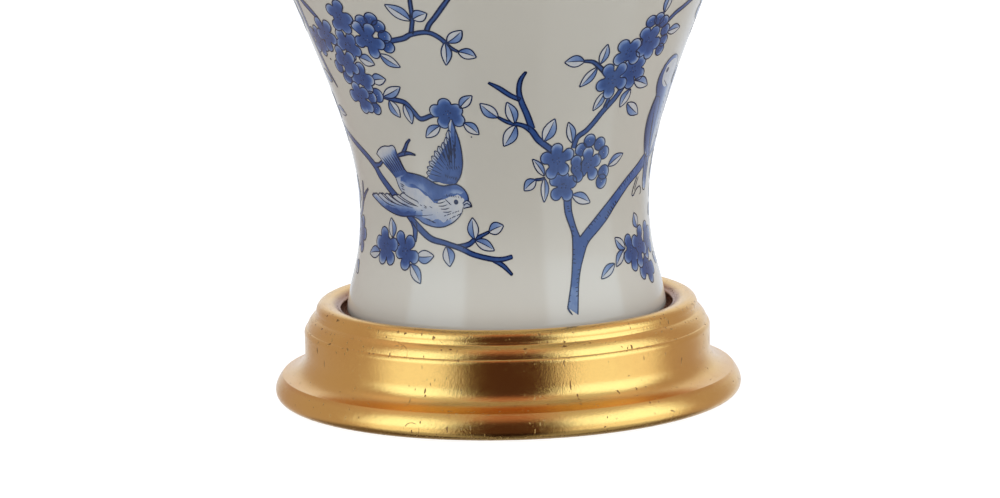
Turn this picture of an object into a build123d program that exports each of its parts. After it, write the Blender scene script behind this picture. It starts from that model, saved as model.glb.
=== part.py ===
from build123d import *
import math
import os

# Urn table lamp: a porcelain urn on a turned and gilded wooden base, with a gilded cap,
# a harp, a turn-knob bulb socket, a bulb and a tapered drum shade held by a finial.
# Millimetres. Z points up, the origin is on the table under the lamp's axis, and the
# front of the lamp faces -Y. The harp stands in the XZ plane.

# Turned base
base_radius = 95.0            # widest point, half way up the foot roll
foot_roll_radius = 6.1        # section of the roll round the foot
foot_lift = 0.8               # the wood stands this far off the table, on its felt
foot_roll_flat = 0.1          # taken off the roll underneath
foot_crease_height = 11.2     # where the roll meets the cove
band_radius = 82.6            # plain upright band
band_bottom = 22.0
band_top = 27.6
roll_nose_angle = -25.0       # middle of the roll's section, in degrees up from its widest point
roll_foot_angle = -101.0      # where the roll ends over the felt
cove_bow = (0.69, 0.40)       # middle of the cove, as shares of its way in and up
edge_bead_height = 2.6        # shallow bead on top of the band
edge_bead_reach = 0.25
edge_groove = (0.8, 0.15)     # groove between that bead and the ovolo, in and up
ovolo_height = 3.65           # full moulding above the groove
ovolo_run = 3.2               # how far it goes in
ovolo_crown = 0.5             # how full it is
rim_groove = (0.2, 0.2)       # groove between the ovolo and the rim, in and up
rim_side_height = 3.4         # nearly upright side of the rim
rim_side_run = 1.0
rim_side_crown = 0.25
rim_round = (3.0, 3.0)        # rounding from that side to the top of the rim, in and up
rim_round_bow = (0.33, 0.70)  # its middle, as shares of its way in and up
rim_dish_drop = 2.2           # the rim falls this much from its top to its inner edge
rim_dish_bow = (0.48, 0.18)   # middle of that fall, as shares of its way in and down
rim_edge_radius = 1.0         # rounding between the dish and the pocket's wall
recess_wall_radius = 67.4     # pocket that the urn's foot stands in
recess_depth = 7.7
web_thickness = 11.0          # wood left between the pocket and the nut's counterbore
counterbore_radius = 22.0

# Felt under the base
felt_thickness = 2.0
felt_margin = 5.0             # felt edge to the roll's bottom rim
felt_clearance = 0.2

# Cord inlet at the back of the base
inlet_height = 8.4
inlet_bore_radius = 3.2
inlet_barrel_radius = 4.4
inlet_flange_radius = 5.4
inlet_flange_thickness = 1.6
inlet_flange_rounding = 0.65
inlet_barrel_length = 12.0
inlet_inset = 1.8             # flange seat, in from the widest point of the roll
inlet_clearance = 0.15

# Threaded pipe through the lamp, with its nut and washers
pipe_radius = 4.8
pipe_bore_radius = 3.4
pipe_hole_clearance = 0.4
nut_across_flats = 15.9
nut_height = 4.8
lock_washer_thickness = 1.2
lock_washer_radius = 8.0
plate_washer_thickness = 1.6
plate_washer_radius = 14.0
washer_clearance = 0.3        # washers and rings over the pipe
lock_washer_cut = (1.0, 25.0) # width and slant of the cut, in millimetres and degrees
pipe_tail = 2.4               # pipe left standing below the nut
thread_clearance = 0.1

# Porcelain urn
urn_foot_gap = 2.4            # urn foot to the wall of its pocket
urn_foot_rounding = 4.0
urn_waist_radius = 58.6
urn_waist_height = 79.6
urn_shoulder_radius = 103.0
urn_shoulder_rise = 166.4     # shoulder above the waist
urn_neck_radius = 41.0
urn_neck_rise = 72.0          # neck above the shoulder
urn_lip_radius = 45.0
urn_lip_rise = 12.0           # lip above the neck
urn_wall = 5.5
urn_floor = 7.0
foot_pull = 15.0              # how far the side runs straight up from the foot
foot_draft = 0.13             # lean of the side there
waist_pull_down = 22.8        # straight runs of the side at the waist, shoulder and neck
waist_pull_up = 47.3
shoulder_pull_down = 57.8
shoulder_pull_up = 38.0
neck_pull = 26.0
urn_hole_margin = 2.0         # hole in the urn's floor, wider than the hole in the base
lip_rounding = 1.5
lip_flare = (0.25, 0.61)      # middle of the flare under the lip, as shares of its way out and up
inside_shares = ((0.80, 0.60, 0.35, 0.12), (0.90, 0.65, 0.40, 0.18, 0.0), (0.5,))
gasket_thickness = 1.0
gasket_width = 7.0
gasket_inset = (2.0, 0.5)     # mouth gasket, in from the lip and out from the mouth

# Gilded cap that closes the urn's mouth
cap_radius = 50.0
cap_height = 30.0
cap_roll_radius = 3.6
cap_collar_radius = 15.5
cap_collar_height = 5.0
cap_cove_foot = 38.0          # radius where the cap's cove starts
cap_spigot_length = 13.0
cap_spigot_clearance = 0.6
cap_spigot_wall = 6.0
cap_step = (1.5, 1.2)         # small step from the roll to the cove, in and up
cap_cove_bow = (0.78, 0.30)   # middle of the cove, as shares of its way in and up
cap_collar_round = 1.5        # how far the collar swells

# Brass neck between the cap and the harp
seat_ring_radius = 14.0
seat_ring_height = 3.0
neck_bore_clearance = 0.6     # neck over the pipe
neck_length = 34.0
neck_wall = 2.6
check_ring_radius = 13.0
check_ring_height = 3.0

# Harp and its saddle
wire_radius = 2.1
saddle_thickness = 1.8
saddle_width = 11.0
saddle_half_span = 25.0
saddle_rise = 16.0
saddle_bend_radius = 5.0
saddle_hub_radius = 11.0
saddle_step_run = 7.0         # bend of an arm, in from its post
saddle_hole_clearance = 0.2
leg_post_length = 9.0
leg_post_radius = 1.6
leg_post_gap = 0.3            # harp leg above its post
harp_leg_straight = 8.0       # straight wire above a lifted ferrule
harp_height = 229.0           # saddle seat to the top of the harp
harp_half_width = 57.0
harp_belly_low = 92.0         # above the saddle seat, where the harp is widest
harp_belly_high = 158.0
harp_top_half = 28.0          # half of the level run through the boss
harp_leg_bend = 34.0          # bends of the wire, from a leg up to the top
harp_belly_bend_low = 60.0
harp_belly_bend_high = 62.0
harp_top_bend = 18.0
ferrule_wall = 1.0
ferrule_length = 15.0
ferrule_clearance = 0.3
ferrule_travel = 17.0         # how far a ferrule lifts to free the harp
ferrule_bead_height = 1.4
ferrule_bead = 0.6
boss_radius = 7.5
stud_shank_radius = 2.6
stud_running_clearance = 0.06
stud_flange_radius = 6.4
stud_flange_height = 2.4
stud_head_radius = 4.6
stud_head_height = 2.0
stud_play = 0.3
stud_thread_radius = 3.1
stud_thread_length = 17.0

# Bulb socket
socket_cap_radius = 17.2
socket_cap_height = 22.0
socket_hub_radius = 8.4
socket_hub_height = 8.0
sheet_brass = 0.8
socket_cap_swell = 7.0        # height of the cap's rounded bottom
socket_cap_bow = (2.2, 2.2)   # middle of that rounding, in from its side and up
shell_fit = 0.15              # shell inside the cap
shell_lap = 5.0               # shell pushed down into the cap
shell_length = 48.0
shell_bead = 0.7
shell_bead_span = (3.4, 1.2)  # bead's bottom and top, down from the shell's mouth
liner_drop = 2.0              # liner below the shell's mouth
bush_window_clearance = 0.3
liner_thickness = 0.9
liner_gap = 0.15
insulator_radius = 13.9
insulator_height = 22.0
insulator_lift = 2.0          # above the floor of the socket cap
screw_shell_radius = 13.9
screw_shell_thickness = 0.45
screw_shell_drop = 1.2        # mouth of the screw shell below the top of the bulb's base
screw_shell_hole = 9.0        # hole in its inturned foot
bulb_clearance = 0.3
contact_width = 5.0
contact_thickness = 0.6
contact_rise = 2.4
contact_run = (-6.0, -2.5, 0.5, 5.0)   # where the tongue starts, bends up, bends level and ends
contact_bend_radius = 0.9
terminal_radius = 2.6
terminal_shank_radius = 1.56
terminal_head_height = 1.6
terminal_rise = 6.0           # screws above the bottom of the moulded block
terminal_recess = 2.4         # flats that the screw heads stand on, in from the block's side
terminal_flat = (9.0, 8.0)    # width and height of those flats
terminal_slot = (0.6, 0.7)    # depth and width of the screwdriver slot
terminal_length = 3.4
set_screw_radius = 1.5
set_screw_length = 5.0

# Turn switch
knob_height_in_shell = 11.0   # shaft axis above the bottom of the socket shell
switch_shaft_radius = 2.1
switch_shaft_clearance = 0.05
switch_bush_radius = 4.2
switch_bush_reach = 4.0       # bush in front of the shell
bush_root = 2.0               # bush sunk in the moulded block
shaft_start = -4.0            # shaft's inner end, from the lamp's axis
shaft_end_play = 1.0          # hole beyond the shaft's inner end
knob_grip_depth = 3.0         # shaft's end below the knob's face
wire_hole_radius = 2.2        # hole up through the moulded block
wire_hole_gap = 2.5           # that hole's end below the shaft
knob_radius = 5.0
knob_length = 14.0
knob_shaft_gap = 0.5
knob_flutes = 10
knob_flute_radius = 1.1
knob_flute_offset = 0.5       # flute centres outside the knob's side
knob_neck_step = 1.6
knob_neck_length = 4.0
knob_edge_radius = 0.9

# Bulb
bulb_base_length = 25.0
bulb_tip_radius = 4.6
bulb_tip_height = 2.0
bulb_cone_height = 7.0        # insulating cone, tip included
bulb_thread_pitch = 3.6
bulb_thread_turns = 4
bulb_thread_depth = 0.5
bulb_radius = 30.0
bulb_neck_radius = 14.2
bulb_flare_radius = 40.0      # hollow curve between neck and globe
bulb_centre_rise = 52.0       # globe centre above the top of the bulb's base
bulb_glass_wall = 1.0

# Shade
shade_top_radius = 165.0
shade_bottom_radius = 203.0
shade_height = 255.0
fitter_drop = 14.0            # spider hub below the top edge of the shade
cover_thickness = 1.0
lining_thickness = 0.8
shade_layer_gap = 0.05
shade_wire_radius = 1.4
spider_hub_radius = 13.0
spider_hub_thickness = 2.0
spider_wire_radius = 1.9
spider_arm_count = 3
lining_margin = 0.5           # lining short of the cover's edges
ring_gap = 0.35               # frame rings off the lining
ring_inset = 1.0              # frame rings in from the cover's edges
arm_root = 4.5                # spider arms start this far in from the hub's edge
arm_bend = (26.0, 9.0, 7.0)   # bend's start and end from the ring, and its radius
arm_gap = 0.1                 # arms off the top ring and above the hub's bottom
hub_hole_clearance = 0.4
trim_height = 11.0
trim_thickness = 0.9

# Finial
finial_clearance = 0.06
finial_base_radius = 7.0
finial_base_height = 9.0
finial_stem_radius = 3.4
finial_knob_radius = 11.0
finial_tip_radius = 2.2
finial_height = 38.0
finial_foot_edge = 1.6
finial_foot_bow = (2.0, 3.4)  # middle of the hollow above the foot, out from the stem and up
finial_neck = (1.6, 2.0)      # neck above that hollow, out from the stem and below the knob
finial_core = 1.2             # wall of the brass core inside the knob
finial_core_top = 2.5         # solid brass above the thread
finial_thread_play = 1.0
knob_fit = 0.05               # knob over its brass core
knob_foot_width = 2.4
knob_widest_share = 0.42

# Heights of the stack, each from the piece below it
shell_radius = socket_cap_radius - sheet_brass - shell_fit
neck_bore = pipe_radius + neck_bore_clearance
urn_shoulder_height = urn_waist_height + urn_shoulder_rise
urn_neck_height = urn_shoulder_height + urn_neck_rise
urn_lip_height = urn_neck_height + urn_lip_rise
ovolo_foot_height = band_top + edge_bead_height + edge_groove[1]
rim_foot_height = ovolo_foot_height + ovolo_height + rim_groove[1]
rim_top = rim_foot_height + rim_side_height + rim_round[1]
recess_floor = rim_top - recess_depth
counterbore_top = recess_floor - web_thickness
urn_bottom = recess_floor + gasket_thickness
cap_bottom = urn_lip_height + gasket_thickness
cap_top = cap_bottom + cap_height
neck_bottom = cap_top + seat_ring_height
neck_top = neck_bottom + neck_length
saddle_bottom = neck_top + check_ring_height
saddle_top = saddle_bottom + saddle_thickness
saddle_seat = saddle_bottom + saddle_rise
pipe_top = saddle_top + socket_hub_height - 1.0
socket_floor = saddle_top + socket_hub_height
shell_bottom = saddle_top + socket_cap_height - shell_lap
shell_top = shell_bottom + shell_length
insulator_bottom = socket_floor + sheet_brass + insulator_lift
insulator_top = insulator_bottom + insulator_height
bulb_bottom = insulator_top + contact_rise
bulb_base_top = bulb_bottom + bulb_base_length
bulb_centre = bulb_base_top + bulb_centre_rise
harp_top = saddle_seat + harp_height
stud_flange_bottom = harp_top
hub_bottom = stud_flange_bottom + stud_flange_height
finial_bottom = hub_bottom + spider_hub_thickness
shade_top = hub_bottom + fitter_drop
shade_bottom = shade_top - shade_height
plate_washer_bottom = counterbore_top - plate_washer_thickness
lock_washer_bottom = plate_washer_bottom - lock_washer_thickness
nut_bottom = lock_washer_bottom - nut_height
pipe_bottom = nut_bottom - pipe_tail
pipe_hole_radius = pipe_radius + pipe_hole_clearance
foot_roll_centre = base_radius - foot_roll_radius
arc_side = math.sqrt(0.5)     # middle of a quarter round, as a share of its way
foot_roll_height = foot_lift + foot_roll_radius - foot_roll_flat


def turned(*edges):
    """A solid of revolution from an outline of edges in radius and height."""
    outline = Curve() + list(edges)
    return revolve(make_face(Plane.XZ * outline), Axis.Z)


def tube(outer, inner, bottom, top):
    """A plain ring or tube about the lamp's axis."""
    body = Pos(0, 0, bottom) * Cylinder(
        outer, top - bottom, align=(Align.CENTER, Align.CENTER, Align.MIN)
    )
    if inner > 0:
        body -= Pos(0, 0, bottom - 1) * Cylinder(
            inner, top - bottom + 2, align=(Align.CENTER, Align.CENTER, Align.MIN)
        )
    return body


def rod(radius, start, end):
    """A round bar from one point to another."""
    run = Vector(*end) - Vector(*start)
    plane = Plane(origin=start, z_dir=run)
    return extrude(plane * Circle(radius), run.length)


def path_through(points):
    """Straight edges that join points in radius and height."""
    return [Line(a, b) for a, b in zip(points[:-1], points[1:])]


def on_roll(angle):
    """A point on the foot roll, in degrees up from its widest point."""
    turn = math.radians(angle)
    across = foot_roll_centre + foot_roll_radius * math.cos(turn)
    return across, foot_roll_height + foot_roll_radius * math.sin(turn)


def part_way(start, end, across, up):
    """The point that lies these shares of the way across and up from start to end."""
    return start[0] + across * (end[0] - start[0]), start[1] + up * (end[1] - start[1])


def full_curve(start, end, crown):
    """An arc that stands a little proud of the straight line between two points."""
    run, rise = end[0] - start[0], end[1] - start[1]
    length = math.hypot(run, rise)
    middle = part_way(start, end, 0.5, 0.5)
    return ThreePointArc(start, (middle[0] + crown * rise / length, middle[1] - crown * run / length), end)


def base_outline():
    """Outer side of the base, from the felt's edge up and over to the pocket."""
    crease = on_roll(math.degrees(math.asin((foot_crease_height - foot_roll_height) / foot_roll_radius)))
    foot_rim = on_roll(roll_foot_angle)
    cove_top = (band_radius, band_bottom)
    band_edge = (band_radius, band_top)
    bead_end = (band_radius, band_top + edge_bead_height)
    ovolo_foot = (band_radius - edge_groove[0], ovolo_foot_height)
    ovolo_top = (ovolo_foot[0] - ovolo_run, ovolo_foot[1] + ovolo_height)
    rim_foot = (ovolo_top[0] - rim_groove[0], rim_foot_height)
    rim_side_top = (rim_foot[0] - rim_side_run, rim_foot[1] + rim_side_height)
    crest = (rim_side_top[0] - rim_round[0], rim_top)
    rim_inner = (recess_wall_radius + rim_edge_radius, rim_top - rim_dish_drop)
    wall_top = (recess_wall_radius, rim_inner[1] - rim_edge_radius)
    edges = [
        ThreePointArc(foot_rim, on_roll(roll_nose_angle), crease),
        ThreePointArc(crease, part_way(crease, cove_top, *cove_bow), cove_top),
        Line(cove_top, band_edge),
        full_curve(band_edge, bead_end, edge_bead_reach),
        Line(bead_end, ovolo_foot),
        full_curve(ovolo_foot, ovolo_top, ovolo_crown),
        Line(ovolo_top, rim_foot),
        full_curve(rim_foot, rim_side_top, rim_side_crown),
        ThreePointArc(rim_side_top, part_way(rim_side_top, crest, *rim_round_bow), crest),
        ThreePointArc(crest, part_way(crest, rim_inner, *rim_dish_bow), rim_inner),
        ThreePointArc(rim_inner, part_way(rim_inner, wall_top, arc_side, 1 - arc_side), wall_top),
    ]
    return edges, foot_rim, wall_top


def make_base():
    """The turned wooden base with its pockets, pipe hole and cord channel."""
    side, foot_rim, wall_top = base_outline()
    pocket_edge = felt_radius() + felt_clearance
    inlet_end = base_radius + inlet_flange_radius
    inside = path_through(
        [
            wall_top,
            (recess_wall_radius, recess_floor),
            (pipe_hole_radius, recess_floor),
            (pipe_hole_radius, counterbore_top),
            (counterbore_radius, counterbore_top),
            (counterbore_radius, felt_thickness),
            (pocket_edge, felt_thickness),
            (pocket_edge, foot_rim[1]),
            foot_rim,
        ]
    )
    wood = turned(*side, *inside)
    seat = base_radius - inlet_inset - inlet_flange_thickness
    outside = (0, inlet_end, inlet_height)
    inside_end = (0, counterbore_radius - inlet_barrel_radius, inlet_height)
    channel = rod(inlet_barrel_radius + inlet_clearance, inside_end, outside)
    spot_face = rod(inlet_flange_radius + inlet_clearance, (0, seat, inlet_height), outside)
    return wood - channel - spot_face


def felt_radius():
    return on_roll(roll_foot_angle)[0] - felt_margin


def make_felt_pad():
    return tube(felt_radius(), 0, 0, felt_thickness)


def make_cord_bushing():
    """Flanged bush that lines the cord's hole, pushed in from the back."""
    seat = base_radius - inlet_inset - inlet_flange_thickness
    face = seat + inlet_flange_thickness
    inner_end = seat - inlet_barrel_length
    flange = rod(inlet_flange_radius, (0, seat, inlet_height), (0, face, inlet_height))
    barrel = rod(inlet_barrel_radius, (0, inner_end, inlet_height), (0, seat, inlet_height))
    bore = rod(inlet_bore_radius, (0, inner_end - 1, inlet_height), (0, face + 1, inlet_height))
    rim = (flange.edges() | GeomType.CIRCLE).sort_by(Axis.Y)[-1]
    return fillet(rim, inlet_flange_rounding) + barrel - bore


def make_lamp_pipe():
    return tube(pipe_radius, pipe_bore_radius, pipe_bottom, pipe_top)


def make_lower_nut():
    hexagon = RegularPolygon(nut_across_flats / 2, 6, major_radius=False)
    nut = extrude(Pos(0, 0, nut_bottom) * hexagon, nut_height)
    return nut - tube(pipe_radius + thread_clearance, 0, nut_bottom - 1, nut_bottom + nut_height + 1)


def make_lock_washer():
    """Split spring washer: a flat ring with a slanted cut."""
    ring = tube(lock_washer_radius, pipe_radius + washer_clearance, lock_washer_bottom, plate_washer_bottom)
    width, slant = lock_washer_cut
    middle = (lock_washer_radius + pipe_radius) / 2
    cut = Pos(middle, 0, lock_washer_bottom) * Rot(slant, 0, 0) * Box(lock_washer_radius, width, pipe_radius)
    return ring - cut


def make_plate_washer():
    return tube(plate_washer_radius, pipe_radius + washer_clearance, plate_washer_bottom, counterbore_top)


def make_foot_gasket():
    outer = recess_wall_radius - urn_foot_gap - urn_foot_rounding
    return tube(outer, outer - gasket_width, recess_floor, urn_bottom)


def urn_side(foot):
    """The outside of the urn as three curves, from the foot up to the neck."""
    waist = (urn_waist_radius, urn_waist_height)
    shoulder = (urn_shoulder_radius, urn_shoulder_height)
    neck = (urn_neck_radius, urn_neck_height)
    foot_lean = (foot[0] - foot_draft * foot_pull, foot[1] + foot_pull)
    lower = Bezier(foot, foot_lean, (waist[0], waist[1] - waist_pull_down), waist)
    waist_up = (waist[0], waist[1] + waist_pull_up)
    body = Bezier(waist, waist_up, (shoulder[0], shoulder[1] - shoulder_pull_down), shoulder)
    shoulder_up = (shoulder[0], shoulder[1] + shoulder_pull_up)
    upper = Bezier(shoulder, shoulder_up, (neck[0], neck[1] - neck_pull), neck)
    return [lower, body, upper]


def urn_inside(side, mouth, floor_edge):
    """The inside, from the mouth down: straight runs between points one wall in from the side."""
    points = [mouth, (mouth[0], urn_neck_height)]
    for curve, shares in zip(reversed(side), inside_shares):
        for share in shares:
            spot, run = curve @ share, curve % share
            points.append((spot.X - urn_wall * run.Y, spot.Y + urn_wall * run.X))
    return path_through([*points, floor_edge])


def make_urn_body():
    """Hollow porcelain urn with a rounded foot, an open mouth and a rolled lip."""
    foot_radius = recess_wall_radius - urn_foot_gap
    foot = (foot_radius, urn_bottom + urn_foot_rounding)
    foot_inner = (foot_radius - urn_foot_rounding, urn_bottom)
    side = urn_side(foot)
    neck = (urn_neck_radius, urn_neck_height)
    lip_edge = (urn_lip_radius, urn_lip_height - lip_rounding)
    lip_top = (urn_lip_radius - lip_rounding, urn_lip_height)
    mouth = (urn_neck_radius - urn_wall, urn_lip_height)
    floor_top = urn_bottom + urn_floor
    hole = pipe_hole_radius + urn_hole_margin
    floor_edge = (foot_radius - urn_wall, floor_top)
    edges = [
        ThreePointArc(foot_inner, part_way(foot_inner, foot, arc_side, 1 - arc_side), foot),
        *side,
        ThreePointArc(neck, part_way(neck, lip_edge, *lip_flare), lip_edge),
        ThreePointArc(lip_edge, part_way(lip_edge, lip_top, 1 - arc_side, arc_side), lip_top),
        Line(lip_top, mouth),
        *urn_inside(side, mouth, floor_edge),
        *path_through([floor_edge, (hole, floor_top), (hole, urn_bottom), foot_inner]),
    ]
    return turned(*edges)


def make_mouth_gasket():
    outer_inset, bore_inset = gasket_inset
    bore = urn_neck_radius - urn_wall + bore_inset
    return tube(urn_lip_radius - outer_inset, bore, urn_lip_height, cap_bottom)


def make_cap():
    """Turned cap: a roll at its edge, a cove up to a collar, a spigot in the mouth."""
    roll_centre = (cap_radius - cap_roll_radius, cap_bottom + cap_roll_radius)
    roll_top = (roll_centre[0], roll_centre[1] + cap_roll_radius)
    step = (cap_cove_foot, roll_top[1] + cap_step[1])
    collar_low = (cap_collar_radius - cap_collar_round, cap_top - cap_collar_height)
    collar_top = (collar_low[0], cap_top)
    spigot = urn_neck_radius - urn_wall - cap_spigot_clearance
    edges = [
        ThreePointArc((roll_centre[0], cap_bottom), (cap_radius, roll_centre[1]), roll_top),
        *path_through([roll_top, (step[0] + cap_step[0], roll_top[1]), step]),
        ThreePointArc(step, part_way(step, collar_low, *cap_cove_bow), collar_low),
        ThreePointArc(collar_low, (cap_collar_radius, cap_top - cap_collar_height / 2), collar_top),
        *path_through(
            [
                collar_top,
                (pipe_hole_radius, cap_top),
                (pipe_hole_radius, cap_bottom),
                (spigot - cap_spigot_wall, cap_bottom),
                (spigot - cap_spigot_wall, cap_bottom - cap_spigot_length),
                (spigot, cap_bottom - cap_spigot_length),
                (spigot, cap_bottom),
                (roll_centre[0], cap_bottom),
            ]
        ),
    ]
    return turned(*edges)


def dished_ring(radius, bottom, top):
    """Brass ring with a rounded edge and a flat top and bottom."""
    height = top - bottom
    low = (radius - height / 2, bottom)
    high = (radius - height / 2, top)
    inner = pipe_radius + washer_clearance
    return turned(
        ThreePointArc(low, (radius, (bottom + top) / 2), high),
        *path_through([high, (inner, top), (inner, bottom), low]),
    )


def make_seat_ring():
    return dished_ring(seat_ring_radius, cap_top, neck_bottom)


def make_neck_tube():
    return tube(neck_bore + neck_wall, neck_bore, neck_bottom, neck_top)


def make_check_ring():
    return dished_ring(check_ring_radius, neck_top, saddle_bottom)


def make_harp_saddle():
    """Pressed brass strap: a round hub, two arms bent up, and a post on each arm."""
    half = saddle_half_span
    reach = half + saddle_width / 2
    seat = saddle_seat
    bend = half - saddle_step_run
    low, high = saddle_bottom + saddle_thickness / 2, seat - saddle_thickness / 2
    section = FilletPolyline(
        (-reach, high), (-bend, high), (-bend, low), (bend, low), (bend, high), (reach, high),
        radius=saddle_bend_radius,
    )
    start = Plane(origin=(-reach, 0, high), z_dir=(1, 0, 0))
    strap = sweep(start * Rectangle(saddle_thickness, saddle_width), path=Plane.XZ * section)
    hub = tube(saddle_hub_radius, 0, saddle_bottom, saddle_top)
    posts = [rod(leg_post_radius, (side * half, 0, seat), (side * half, 0, seat + leg_post_length))
             for side in (-1, 1)]
    strap = strap + hub + posts[0] + posts[1]
    return strap - tube(pipe_radius + saddle_hole_clearance, 0, saddle_bottom - 1, saddle_top + 1)


def make_harp_wire():
    """One bent wire: two straight legs, a wide belly, and a flattened boss on top."""
    half = saddle_half_span
    foot = saddle_seat + leg_post_length + leg_post_gap
    leg_top = saddle_seat + ferrule_length + ferrule_travel + harp_leg_straight
    top = harp_top - wire_radius
    right = [
        (half, foot),
        (half, leg_top),
        (harp_half_width, saddle_seat + harp_belly_low),
        (harp_half_width, saddle_seat + harp_belly_high),
        (harp_top_half, top),
    ]
    left = [(-x, z) for x, z in reversed(right)]
    bends = [harp_leg_bend, harp_belly_bend_low, harp_belly_bend_high, harp_top_bend]
    line = FilletPolyline(*right, *left, radius=bends + bends[::-1])
    start = Plane(origin=(half, 0, foot), z_dir=(0, 0, 1))
    wire = sweep(start * Circle(wire_radius), path=Plane.XZ * line)
    boss = tube(boss_radius, 0, harp_top - 2 * wire_radius, harp_top)
    bore = stud_shank_radius + stud_running_clearance
    hole = tube(bore, 0, harp_top - 2 * wire_radius - 1, harp_top + 1)
    return wire + boss - hole


def make_ferrule(side):
    """Sleeve that drops over the harp's leg and locks it to the saddle's post."""
    bore = wire_radius + ferrule_clearance
    outer = bore + ferrule_wall
    top = saddle_seat + ferrule_length
    body = tube(outer, bore, saddle_seat, top)
    foot_bead = tube(outer + ferrule_bead, bore, saddle_seat, saddle_seat + ferrule_bead_height)
    bead_top = top - 0.5 * ferrule_bead_height
    top_bead = tube(outer + ferrule_bead, bore, bead_top - ferrule_bead_height, bead_top)
    return Pos(side * saddle_half_span, 0, 0) * (body + foot_bead + top_bead)


def make_harp_stud():
    """Swivel stud: a riveted head under the boss, a flange above it and the thread."""
    below = harp_top - 2 * wire_radius - stud_play
    head = tube(stud_head_radius, 0, below - stud_head_height, below)
    shank = tube(stud_shank_radius, 0, below, harp_top)
    flange = tube(stud_flange_radius, 0, stud_flange_bottom, hub_bottom)
    thread = tube(stud_thread_radius, 0, hub_bottom, hub_bottom + stud_thread_length)
    return head + shank + flange + thread


def make_socket_cap():
    """Brass cup with a threaded hub that screws down on the lamp's pipe."""
    hub_bore = pipe_radius + thread_clearance
    rim = saddle_top + socket_cap_height
    inner = socket_cap_radius - sheet_brass
    inner_floor = socket_floor + sheet_brass
    bow_in, bow_up = socket_cap_bow
    shoulder = (socket_cap_radius, socket_floor + socket_cap_swell)
    inner_shoulder = (inner, shoulder[1])
    hub_top = (socket_hub_radius, socket_floor)
    inner_hub = (socket_hub_radius, inner_floor)
    return turned(
        *path_through([(hub_bore, saddle_top), (socket_hub_radius, saddle_top), hub_top]),
        ThreePointArc(hub_top, (socket_cap_radius - bow_in, socket_floor + bow_up), shoulder),
        *path_through([shoulder, (socket_cap_radius, rim), (inner, rim), inner_shoulder]),
        ThreePointArc(inner_shoulder, (inner - bow_in, inner_floor + bow_up), inner_hub),
        *path_through([inner_hub, (hub_bore, inner_floor), (hub_bore, saddle_top)]),
    ) - set_screw_hole()


def set_screw_hole():
    height = saddle_top + socket_hub_height / 2
    outside = socket_hub_radius + set_screw_length
    return rod(set_screw_radius + thread_clearance, (0, pipe_bore_radius, height), (0, outside, height))


def make_set_screw():
    height = saddle_top + socket_hub_height / 2
    start = pipe_radius + thread_clearance
    return rod(set_screw_radius, (0, start, height), (0, start + set_screw_length, height))


def switch_height():
    return shell_bottom + knob_height_in_shell


def make_socket_shell():
    """Outer brass shell: plain sleeve with a rolled bead at its mouth."""
    low, high = shell_bead_span
    inner = shell_radius - sheet_brass
    body = tube(shell_radius, inner, shell_bottom, shell_top)
    bead = tube(shell_radius + shell_bead, inner, shell_top - low, shell_top - high)
    return body + bead - bush_window()


def bush_window():
    """Hole in the shell and its liner for the switch's bush."""
    start = (0, -insulator_radius + bush_root, switch_height())
    end = (0, -shell_radius - switch_bush_reach, switch_height())
    return rod(switch_bush_radius + bush_window_clearance, start, end)


def make_insulating_liner():
    """Card sleeve between the live parts and the shell."""
    outer = shell_radius - sheet_brass - liner_gap
    body = tube(outer, outer - liner_thickness, shell_bottom, shell_top - liner_drop)
    return body - bush_window()


def make_socket_insulator():
    """Moulded block that carries the contacts and the switch, with its front bush."""
    block = tube(insulator_radius, 0, insulator_bottom, insulator_top)
    height = switch_height()
    bush_end = -shell_radius - switch_bush_reach
    bush = rod(switch_bush_radius, (0, -insulator_radius + bush_root + 1, height), (0, bush_end, height))
    hole_start = (0, shaft_start + shaft_end_play, height)
    shaft_hole = rod(switch_shaft_radius + switch_shaft_clearance, hole_start, (0, bush_end - 1, height))
    wire_hole = tube(wire_hole_radius, 0, insulator_bottom - 1, height - switch_shaft_radius - wire_hole_gap)
    block = block + bush - shaft_hole - wire_hole
    shank = terminal_shank_radius + thread_clearance
    level = terminal_height()
    for side in (-1, 1):
        flat = Pos(side * insulator_radius, 0, level) * Box(2 * terminal_recess, *terminal_flat)
        block -= flat
        inner_end = (side * (terminal_face() - terminal_length), 0, level)
        block -= rod(shank, inner_end, (side * insulator_radius, 0, level))
    return block


def terminal_height():
    return insulator_bottom + terminal_rise


def terminal_face():
    return insulator_radius - terminal_recess


def make_terminal_screws():
    """The two wire screws, one on each side of the moulded block."""
    level, face = terminal_height(), terminal_face()
    group = []
    for side in (-1, 1):
        outside = side * (face + terminal_head_height)
        head = rod(terminal_radius, (side * face, 0, level), (outside, 0, level))
        tip = side * (face - terminal_length)
        shank = rod(terminal_shank_radius, (tip, 0, level), (side * face, 0, level))
        slot_depth, slot_width = terminal_slot
        slot = Pos(outside, 0, level) * Box(2 * slot_depth, 3 * terminal_radius, slot_width)
        group.append(head + shank - slot)
    return Compound(children=[Solid(piece.solid().wrapped) for piece in group])


def make_screw_shell():
    """Thin threaded shell that takes the bulb's base, with an inturned foot."""
    inner = screw_shell_radius - screw_shell_thickness
    top = bulb_base_top - screw_shell_drop
    wall = tube(screw_shell_radius, inner, insulator_top, top)
    foot = tube(screw_shell_radius, screw_shell_hole, insulator_top, insulator_top + screw_shell_thickness)
    return wall + foot


def make_centre_contact():
    """Springy brass tongue under the bulb's tip."""
    low = insulator_top + contact_thickness / 2
    high = bulb_bottom - contact_thickness / 2
    first, rise, level, end = contact_run
    line = FilletPolyline((first, low), (rise, low), (level, high), (end, high), radius=contact_bend_radius)
    start = Plane(origin=(first, 0, low), z_dir=(1, 0, 0))
    return sweep(start * Rectangle(contact_thickness, contact_width), path=Plane.XZ * line)


def shaft_end():
    return -shell_radius - switch_bush_reach - knob_length + knob_grip_depth


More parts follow.
